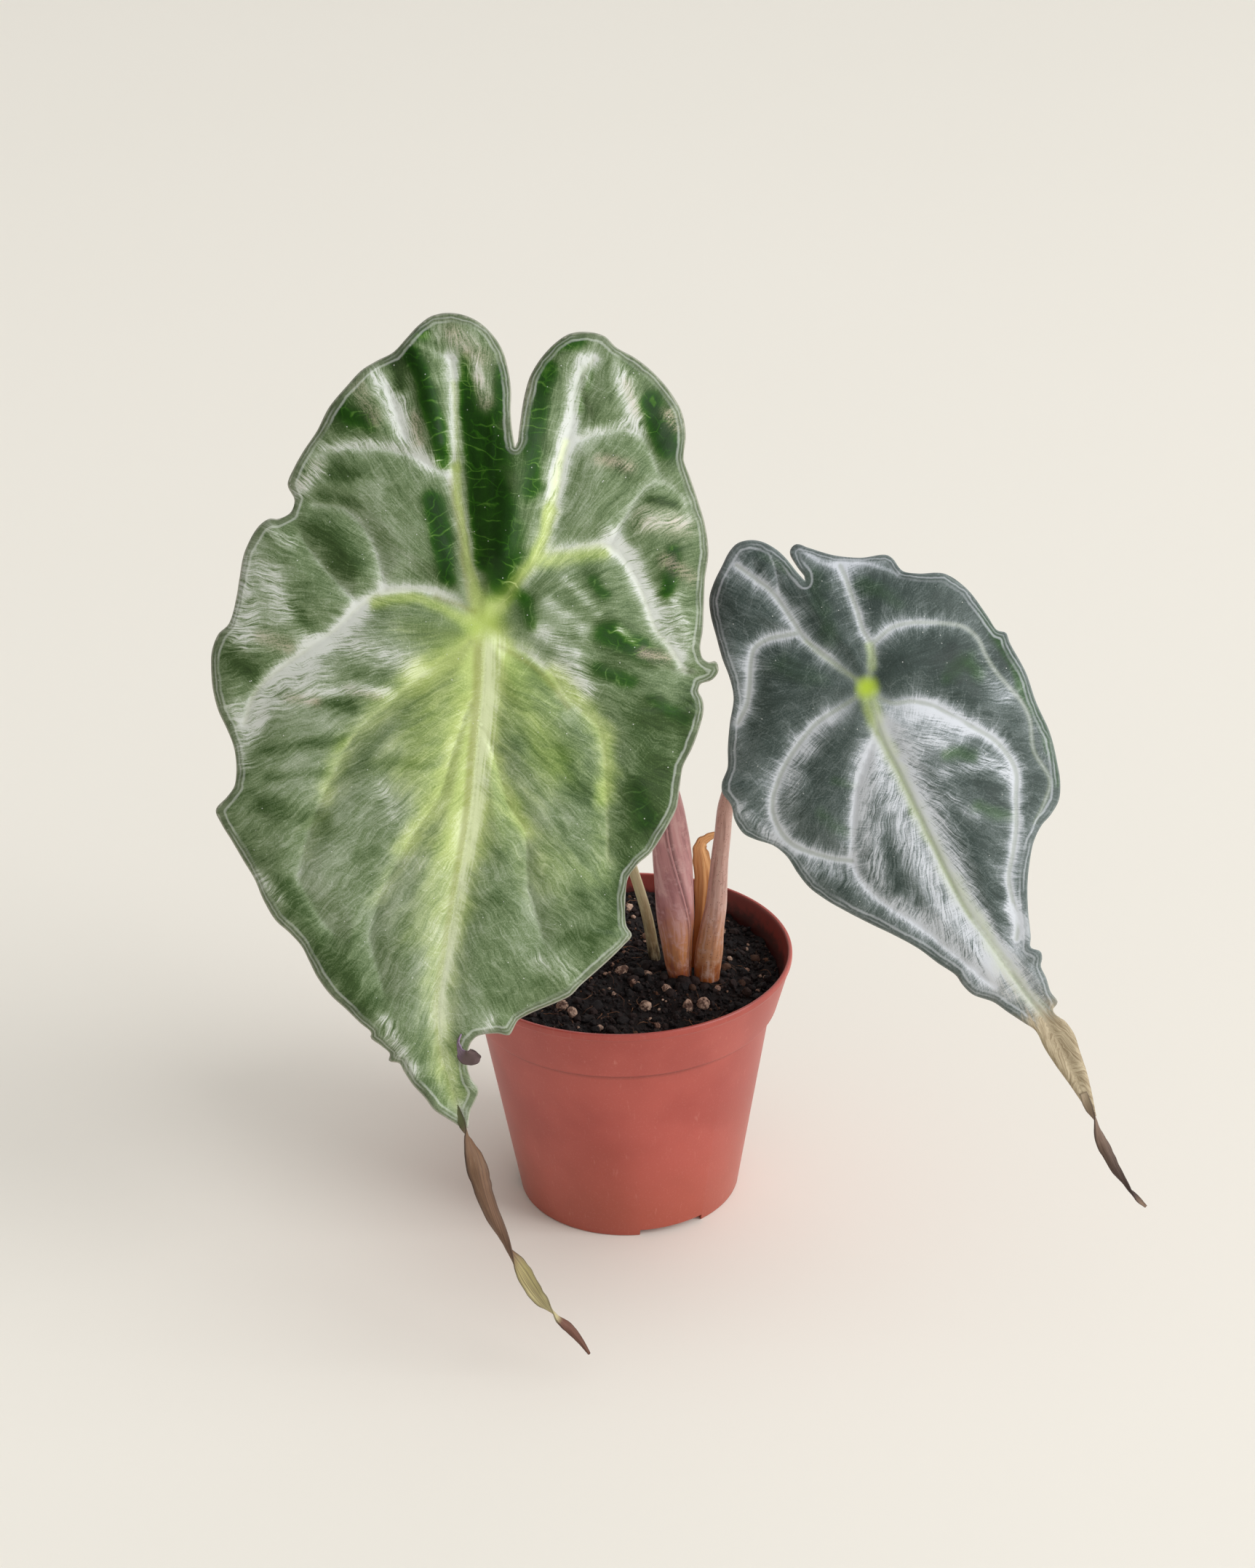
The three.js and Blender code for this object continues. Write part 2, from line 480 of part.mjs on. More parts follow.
// One lump or grain: a stretched and turned twenty-sided stone, more than half sunk in
function grain(seed, size) {
  const turn = draw(seed) * 2 * Math.PI;
  const reach = (innerRadius(SOIL_LEVEL) - size - 3) * Math.sqrt(draw(seed + 1));
  const x = reach * Math.cos(turn);
  const y = reach * Math.sin(turn);
  const stone = new THREE.IcosahedronGeometry(size, 0);
  stone.scale(1 + 0.4 * draw(seed + 2), 1, 0.75);
  stone.rotateZ(draw(seed + 3) * Math.PI);
  stone.rotateX(0.5 * draw(seed + 4));
  stone.translate(x, y, soilHeight(x, y) + 0.15 * size);
  return toManifold(stone);
}

function soilGeometry(stems) {
  let soil = soilBed();
  for (let i = 0; i < CRUMB_COUNT; i += 1) {
    soil = soil.add(grain(10 * i + 1, 1.8 + 1.6 * draw(i + 500)));
  }
  for (let i = 0; i < PUMICE_COUNT; i += 1) {
    soil = soil.add(grain(10 * i + 2001, 1.3 + 0.9 * draw(i + 900)));
  }
  for (const stem of stems) {
    soil = soil.subtract(toManifold(stem));
  }
  return fromManifold(soil);
}

// A leaf's own frame in space, and the height of its face above the flat drawing
function leafFrame(leaf) {
  const turn = leaf.turn * DEGREE;
  const lift = leaf.lift * DEGREE;
  const out = new THREE.Vector3(Math.sin(turn) * Math.cos(lift), -Math.cos(turn) * Math.cos(lift),
    Math.sin(lift));
  const level = new THREE.Vector3(Math.cos(turn), Math.sin(turn), 0);
  const across = level.clone().applyAxisAngle(out, leaf.spin * DEGREE);
  const along = out.clone().cross(across);
  return { origin: vector(leaf.junction), across, along, out };
}

function inSpace(frame, u, v, w) {
  const nearer = 1 - w / SIGHT_DISTANCE;
  return frame.origin.clone().addScaledVector(frame.across, u * nearer)
    .addScaledVector(frame.along, v * nearer).addScaledVector(frame.out, w);
}

function midribAt(leaf, v) {
  const line = leaf.mainVeins[0];
  for (let i = 1; i < line.length; i += 1) {
    if (v >= line[i][1]) {
      const share = clamp01((v - line[i - 1][1]) / (line[i][1] - line[i - 1][1]));
      return line[i - 1][0] + share * (line[i][0] - line[i - 1][0]);
    }
  }
  return line[line.length - 1][0];
}

// edge is 0 at the midrib and 1 at the rim, round is the place along the rim as a turn
function faceHeight(leaf, u, v, edge, round) {
  const side = u - midribAt(leaf, v);
  const arch = side < 0 ? leaf.archLeft : leaf.archRight;
  const fall = v > 0 ? leaf.archTop : leaf.archTip;
  const main = Math.min(...leaf.mainVeins.map((line) => distanceToLine(line, u, v)));
  const lesser = Math.min(...leaf.sideVeins.map((line) => distanceToLine(line, u, v)));
  const depth = Math.min(main, lesser + leaf.sideVeinRise) / leaf.puffReach;
  const puff = leaf.puff * (1 - Math.exp(-depth * depth)) * (1 - edge ** 8);
  let height = puff - arch * side * side - fall * v * v;
  for (const crest of leaf.crests) {
    const away = distanceToLine(crest.line, u, v) / crest.reach;
    height += crest.height * Math.exp(-away * away);
  }
  for (const [waves, swing, start] of leaf.ruffle) {
    height += swing * edge ** 5 * Math.sin(2 * Math.PI * waves * round + start);
  }
  return height;
}

// Share of the way from the shoulder to the neck for each point of a rim, 0 above the shoulder
function spineShares(rim, shoulder) {
  const run = [0];
  for (let i = 1; i < rim.length; i += 1) {
    const step = Math.hypot(rim[i][0] - rim[i - 1][0], rim[i][1] - rim[i - 1][1]);
    run.push(run[i - 1] + (i > shoulder ? step : 0));
  }
  return run.map((length) => length / run[run.length - 1]);
}

// The blade's middle sheet: spokes run from the hub to the lobes and from the midrib to the sides
function bladeSheet(leaf) {
  const frame = leafFrame(leaf);
  const spine = new THREE.CatmullRomCurve3(leaf.spine.map(vector));
  const points = [];
  const triangles = [];
  const rest = faceHeight(leaf, 0, 0, 0, 0);
  const place = (u, v, edge, round) => points.push(
    inSpace(frame, u, v, faceHeight(leaf, u, v, edge, round) - rest),
  ) - 1;
  const midrib = [];
  for (let k = 0; k <= leaf.spineSteps; k += 1) {
    const p = spine.getPointAt(k / leaf.spineSteps);
    midrib.push(place(p.x, p.y, 0, 0));
  }
  const rimCount = leaf.leftRim.length + leaf.rightRim.length;
  const halves = [
    { rim: leaf.leftRim, shoulder: leaf.leftShoulder, sign: 1 },
    { rim: leaf.rightRim, shoulder: leaf.rightShoulder, sign: -1 },
  ].map(({ rim, shoulder, sign }) => {
    const shares = spineShares(rim, shoulder);
    const spokes = rim.map(([u, v], i) => {
      const root = spine.getPointAt(shares[i]);
      const spoke = [];
      for (let j = 1; j <= BLADE_RINGS; j += 1) {
        const edge = j / BLADE_RINGS;
        const round = (sign * (i + 0.5)) / rimCount;
        const reach = THREE.MathUtils.lerp(edge, Math.sqrt(edge), 0.3);
        spoke.push(place(root.x + (u - root.x) * reach, root.y + (v - root.y) * reach, edge, round));
      }
      return spoke;
    });
    return { shares, spokes, sign };
  });
  const add = (a, b, c, sign) => triangles.push(sign > 0 ? [a, b, c] : [a, c, b]);
  const strip = (one, two, sign) => {
    for (let j = 1; j < one.length; j += 1) {
      add(one[j - 1], one[j], two[j], sign);
      add(one[j - 1], two[j], two[j - 1], sign);
    }
  };
  for (const { shares, spokes, sign } of halves) {
    let k = 0;
    for (let i = 1; i < spokes.length; i += 1) {
      const target = shares[i] * leaf.spineSteps;
      add(midrib[k], spokes[i - 1][0], spokes[i][0], sign);
      while (k < leaf.spineSteps && k + 0.5 < target) {
        add(midrib[k], spokes[i][0], midrib[k + 1], sign);
        k += 1;
      }
      strip(spokes[i - 1], spokes[i], sign);
    }
  }
  const [left, right] = halves.map((half) => half.spokes);
  triangles.push([midrib[0], right[0][0], left[0][0]]);
  strip(right[0], left[0], 1);
  const neckLeft = [...left[left.length - 1]].reverse();
  const neckRight = right[right.length - 1];
  const border = [
    ...left.slice(0, -1).map((spoke) => spoke[BLADE_RINGS - 1]),
    ...neckLeft,
    midrib[leaf.spineSteps],
    ...neckRight,
    ...right.slice(0, -1).reverse().map((spoke) => spoke[BLADE_RINGS - 1]),
  ];
  return { points, triangles, border };
}

// Gives a sheet its thickness, half to each side along its own normals
function thicken({ points, triangles, border }, thickness) {
  const normals = points.map(() => new THREE.Vector3());
  for (const [a, b, c] of triangles) {
    const face = points[b].clone().sub(points[a]).cross(points[c].clone().sub(points[a]));
    normals[a].add(face);
    normals[b].add(face);
    normals[c].add(face);
  }
  normals.forEach((normal) => normal.normalize());
  const front = points.map((p, i) => p.clone().addScaledVector(normals[i], thickness / 2));
  const back = points.map((p, i) => p.clone().addScaledVector(normals[i], -thickness / 2));
  const shift = points.length;
  const faces = triangles.flatMap(([a, b, c]) => [[a, b, c], [a + shift, c + shift, b + shift]]);
  border.forEach((a, i) => {
    const b = border[(i + 1) % border.length];
    faces.push([b, a, a + shift], [b, a + shift, b + shift]);
  });
  return geometryOf([...front, ...back], faces);
}

// A narrow folded ribbon that twists as it goes: the dry drip tip, or a curl of the rim
function ribbonGeometry(leaf, { path, width, twist, rootEdge, steps }) {
  const frame = leafFrame(leaf);
  const rest = faceHeight(leaf, 0, 0, 0, 0);
  const root = faceHeight(leaf, path[0][0], path[0][1], rootEdge, 0) - rest;
  const axis = new THREE.CatmullRomCurve3(path.map(([u, v, w]) => inSpace(frame, u, v, w + root)));
  const form = new THREE.CatmullRomCurve3(width.map((w, i) => new THREE.Vector3(w, twist[i], 0)));
  const rings = [];
  for (let k = 0; k <= steps; k += 1) {
    const t = k / steps;
    const centre = axis.getPoint(t);
    const ahead = axis.getTangent(t);
    const { x: wide, y: turned } = form.getPoint(t);
    const level = frame.out.clone().cross(ahead).normalize();
    const side = level.applyAxisAngle(ahead, turned * DEGREE);
    const face = ahead.clone().cross(side).normalize();
    const at = (s, h) => centre.clone().addScaledVector(side, s).addScaledVector(face, h);
    const half = wide / 2;
    const fold = 0.16 * wide;
    const thin = BLADE_THICKNESS / 2;
    rings.push([at(half, fold + thin), at(0, thin), at(-half, fold + thin),
      at(-half, fold - thin), at(0, -thin), at(half, fold - thin)]);
  }
  return loft(rings);
}

function bladeGeometry(leaf) {
  const blade = toManifold(thicken(bladeSheet(leaf), BLADE_THICKNESS));
  const ribbons = leaf.ribbons.map((ribbon) => toManifold(ribbonGeometry(leaf, ribbon)));
  return fromManifold(ribbons.reduce((joined, ribbon) => joined.add(ribbon), blade));
}

// A stalk: a tapering oval stem; a flap above 0 is the free edge of its clasping sheath.
// grow widens it, for the hole that it stands in.
function stalkGeometry(stalk, grow = 0) {
  const axis = new THREE.CatmullRomCurve3(stalk.axis.map(vector));
  const form = new THREE.CatmullRomCurve3(stalk.size.map(vector));
  const rings = [];
  for (let k = 0; k <= stalk.steps; k += 1) {
    const t = k / stalk.steps;
    const centre = axis.getPoint(t);
    const ahead = k === stalk.steps && stalk.finish ? stalk.finish : axis.getTangent(t);
    const side = new THREE.Vector3(1, 0, 0).addScaledVector(ahead, -ahead.x).normalize();
    const back = ahead.clone().cross(side);
    const { x: halfWidth, y: halfDepth } = form.getPoint(t);
    const ring = [];
    for (let i = 0; i < STALK_SIDES; i += 1) {
      const angle = (i * 2 * Math.PI) / STALK_SIDES;
      const clasp = clamp01((halfWidth - 4.2) / 2) * stalk.flap * flapStep(angle);
      ring.push(centre.clone()
        .addScaledVector(side, (halfWidth + grow + clasp) * Math.cos(angle))
        .addScaledVector(back, (halfDepth + grow + clasp) * Math.sin(angle)));
    }
    rings.push(ring);
  }
  return loft(rings);
}

// The clasping sheath thickens round the stem up to its free edge at the front
function flapStep(angle) {
  const turned = (angle / (2 * Math.PI) + 0.3) % 1;
  return turned < 0.92 ? turned - 0.5 : 0.42 - (turned - 0.92) * 11.5;
}

// A leaf's stalk ends square to the blade's back, a hair's breadth from it
function stalkUnder(leaf, stalk, bend) {
  const { out } = leafFrame(leaf);
  const seat = inSpace(leafFrame(leaf), 0, 0, -BLADE_THICKNESS / 2 - SEAT_GAP);
  const elbow = seat.clone().addScaledVector(out, -bend);
  return { ...stalk, axis: [...stalk.axis, elbow.toArray(), seat.toArray()], finish: out };
}

function sheathGeometry(grow = 0) {
  const axis = new THREE.CatmullRomCurve3(SHEATH.axis.map(vector));
  const form = new THREE.CatmullRomCurve3(SHEATH.size.map(vector));
  const thin = SHEATH.thickness / 2 + grow;
  const rings = [];
  for (let k = 0; k <= SHEATH.steps; k += 1) {
    const t = k / SHEATH.steps;
    const centre = axis.getPoint(t);
    const ahead = axis.getTangent(t);
    const front = new THREE.Vector3(0, -1, 0).addScaledVector(ahead, ahead.y).normalize();
    const side = ahead.clone().cross(front);
    const { x: halfWidth, y: curl } = form.getPoint(t);
    const row = (lift) => Array.from({ length: SHEATH.facets + 1 }, (_, i) => {
      const s = (2 * i) / SHEATH.facets - 1;
      return centre.clone().addScaledVector(side, s * (halfWidth + grow))
        .addScaledVector(front, curl * (1 - s * s) + lift);
    });
    rings.push([...row(thin), ...row(-thin).reverse()]);
  }
  return loft(rings);
}

function part(name, geometry, finish) {
  geometry.computeVertexNormals();
  const mesh = new THREE.Mesh(geometry, new THREE.MeshStandardMaterial(finish));
  mesh.name = name;
  return mesh;
}

const leftStalk = stalkUnder(LEFT_LEAF, LEFT_STALK, LEFT_STALK_BEND);
const rightStalk = stalkUnder(RIGHT_LEAF, RIGHT_STALK, RIGHT_STALK_BEND);
const holes = [leftStalk, rightStalk, SLIM_STALK].map((stalk) => stalkGeometry(stalk, FIT_GAP));
holes.push(sheathGeometry(FIT_GAP));

const plant = new THREE.Group();
plant.add(part('pot', potGeometry(), FINISH.pot));
plant.add(part('soil', soilGeometry(holes), FINISH.soil));
plant.add(part('leaf_left_blade', bladeGeometry(LEFT_LEAF), FINISH.leftBlade));
plant.add(part('leaf_left_stalk', stalkGeometry(leftStalk), FINISH.leftStalk));
plant.add(part('leaf_right_blade', bladeGeometry(RIGHT_LEAF), FINISH.rightBlade));
plant.add(part('leaf_right_stalk', stalkGeometry(rightStalk), FINISH.rightStalk));
plant.add(part('slim_stalk', stalkGeometry(SLIM_STALK), FINISH.slimStalk));
plant.add(part('dry_sheath', sheathGeometry(), FINISH.sheath));

export default plant;
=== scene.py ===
# Potted alocasia: the finished look, built round the imported part.
# Lengths are millimetres until a mesh is made, then metres. The pot's foot stands on z = 0,
# the front is -Y and +X is to the right. A colour of three numbers is read off, from 0 to 255.
import math

import bpy
import numpy as np
from mathutils import Matrix, Vector, geometry


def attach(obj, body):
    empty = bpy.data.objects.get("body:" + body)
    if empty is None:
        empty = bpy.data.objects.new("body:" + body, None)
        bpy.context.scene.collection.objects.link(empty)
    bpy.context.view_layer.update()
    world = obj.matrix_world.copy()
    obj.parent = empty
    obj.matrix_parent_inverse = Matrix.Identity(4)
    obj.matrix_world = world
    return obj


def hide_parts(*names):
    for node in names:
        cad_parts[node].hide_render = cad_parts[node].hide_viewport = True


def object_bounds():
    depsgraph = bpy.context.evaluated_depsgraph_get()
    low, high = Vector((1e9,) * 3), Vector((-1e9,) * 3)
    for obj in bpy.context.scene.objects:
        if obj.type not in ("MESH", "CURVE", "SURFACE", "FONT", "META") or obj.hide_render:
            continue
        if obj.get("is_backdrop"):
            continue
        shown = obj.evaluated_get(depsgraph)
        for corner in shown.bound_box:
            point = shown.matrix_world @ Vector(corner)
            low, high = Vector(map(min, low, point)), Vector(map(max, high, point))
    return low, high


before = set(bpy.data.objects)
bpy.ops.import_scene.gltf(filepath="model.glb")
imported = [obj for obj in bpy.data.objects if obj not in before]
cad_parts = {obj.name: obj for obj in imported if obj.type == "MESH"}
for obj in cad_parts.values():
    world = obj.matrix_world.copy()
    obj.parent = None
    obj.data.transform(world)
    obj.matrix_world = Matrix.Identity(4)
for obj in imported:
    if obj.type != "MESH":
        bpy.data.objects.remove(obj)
CAD_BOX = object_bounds()

MM = 0.001
DEGREE = math.pi / 180

# Camera, as fitted to the photograph's pot
CAMERA_PLACE = (2.78, -901.6, 593.0)
CAMERA_LIFT = 25.63
CAMERA_ROLL = -1.43
CAMERA_LENS = 66.18
CAMERA_SENSOR = 36

# Light of the room, dim on the left and bright on the upper right, and of one wide lamp
ROOM_DIM = (0.07, 0.06, 0.045, 1)
ROOM_BRIGHT = (1.0, 1.0, 1.0, 1)
ROOM_LEVEL = 1.08
ROOM_RISE = 0.55
LAMP_PLACE = (5400, -2400, 2900)
LAMP_TARGET = (0, 0, 170)
LAMP_SIZE = 4000
LAMP_POWER = 262
LAMP_TINT = (0.99, 0.99, 1.0)

# Floor: a round sheet with a low sweep far away on every side
FLOOR_RINGS = (200, 800, 3000, 8500)
SWEEP_RADIUS = 1500
SWEEP_TOP = 2600
SWEEP_STEPS = 16
FLOOR_SIDES = 128

# Pot
POT_HEIGHT = 95
RIM_RADIUS = 60
FOOT_RADIUS = 40
WALL = 1.4
LIP_HEIGHT = 20
LIP_FOOT = POT_HEIGHT - LIP_HEIGHT
LIP_FOOT_RADIUS = 54.6
WALL_TOP_RADIUS = 52.4
FOOT_RISE = 2.5
FLOOR_TOP = FOOT_RISE + 2
CORNER_RADIUS = 0.7
FOOT_RING_WIDTH = 3
CENTRE_PAD_RADIUS = 12
POT_SIDES = 192
NOTCH_COUNT = 3
NOTCH_FIRST_TURN = -68
NOTCH_WIDTH = 24
DRAIN_COUNT = 6
DRAIN_RADIUS = 3.2
DRAIN_CIRCLE = 25
DRAIN_SIDES = 24

# Soil
SOIL_LEVEL = 87
SOIL_SLOPE = (-0.06, 0.05)
SOIL_MOUND = 1.2
SOIL_MOUND_CENTRE = (24, -3)
SOIL_MOUND_REACH = 17
SOIL_GAP = 0.35
SOIL_SEED = 11
SOIL_SPOKES = 420
SOIL_WALL_HEIGHTS = (6, 30, 55, 72, 77.5, 82)
SOIL_TOP_ROUNDS = 62

# Loose grains: their number, smallest and largest size, how common the small ones are, how high they lie
LUMPS = (420, 0.9, 2.4, 1.6, 0.0)
CRUMBS = (4200, 0.3, 0.95, 1.3, 0.1)
SMALL_PUMICE = (150, 0.25, 0.8, 1.8, 0.4)
GRAIN_FLATNESS = 0.75
FIBRE_COUNT = 130

# Larger grains that show in the photograph: x, y and size
PUMICE = [
    (-22, -27, 2.6), (-18.5, -29.5, 2.1), (-1, -3, 2.2), (3, -10, 2.0), (8, -3, 1.9), (15, -14, 1.6),
    (7, -25, 2.3), (22, -25, 2.6), (27.5, -22, 2.5), (2, 42, 1.8), (-4, -17, 1.3), (11, -36, 1.2),
    (33, -12, 1.1), (38, 8, 1.2), (44, 2, 1.0), (-9, -38, 1.3), (2, -31, 0.9), (-12, 30, 1.8),
    (18, 33, 1.7), (-30, 12, 2.0), (-38, -8, 1.6), (36, 28, 1.5), (-8, 47, 1.4), (25, 45, 1.2),
    (-22, 40, 1.6), (47, -14, 0.9), (-44, 16, 1.7), (8, 22, 1.4), (0, 12, 1.0), (30, 14, 1.1),
]
CLODS = [
    (17, -9.6, 2.6), (21, -10.4, 3.0), (24.6, -9.4, 2.2), (14, -6.5, 2.0), (28, -11.4, 1.6), (19, -13.4, 2.2),
    (34.4, -9, 1.4), (12.6, -11, 1.6), (24, -13.6, 1.5), (35.4, -3, 1.3), (14, 2, 1.8), (7.6, 5.6, 1.4),
]
# Feet of the stems on the soil, with the room they need
STEMS = [(19.9, -4, 5.5), (29.3, -5, 5.6), (11.3, 8.1, 3.0), (26, 2, 3.0)]

# Leaves: thickness, the gap over a stalk's end, the camera's distance, and the steps of the meshes
BLADE_THICKNESS = 0.8
STALK_GAP = 0.1
SIGHT_DISTANCE = 915
SHEET_STEP = 0.95
RIM_STEP = 0.9
VEIN_STEP = 1.2
# Shift of the pattern from one vein to the next
VEIN_SPACING = 300
# Strips: how many faces they have across and along
RIBBON_FACETS = 10
SHEATH_FACETS = 14
SHEATH_STEPS = 150

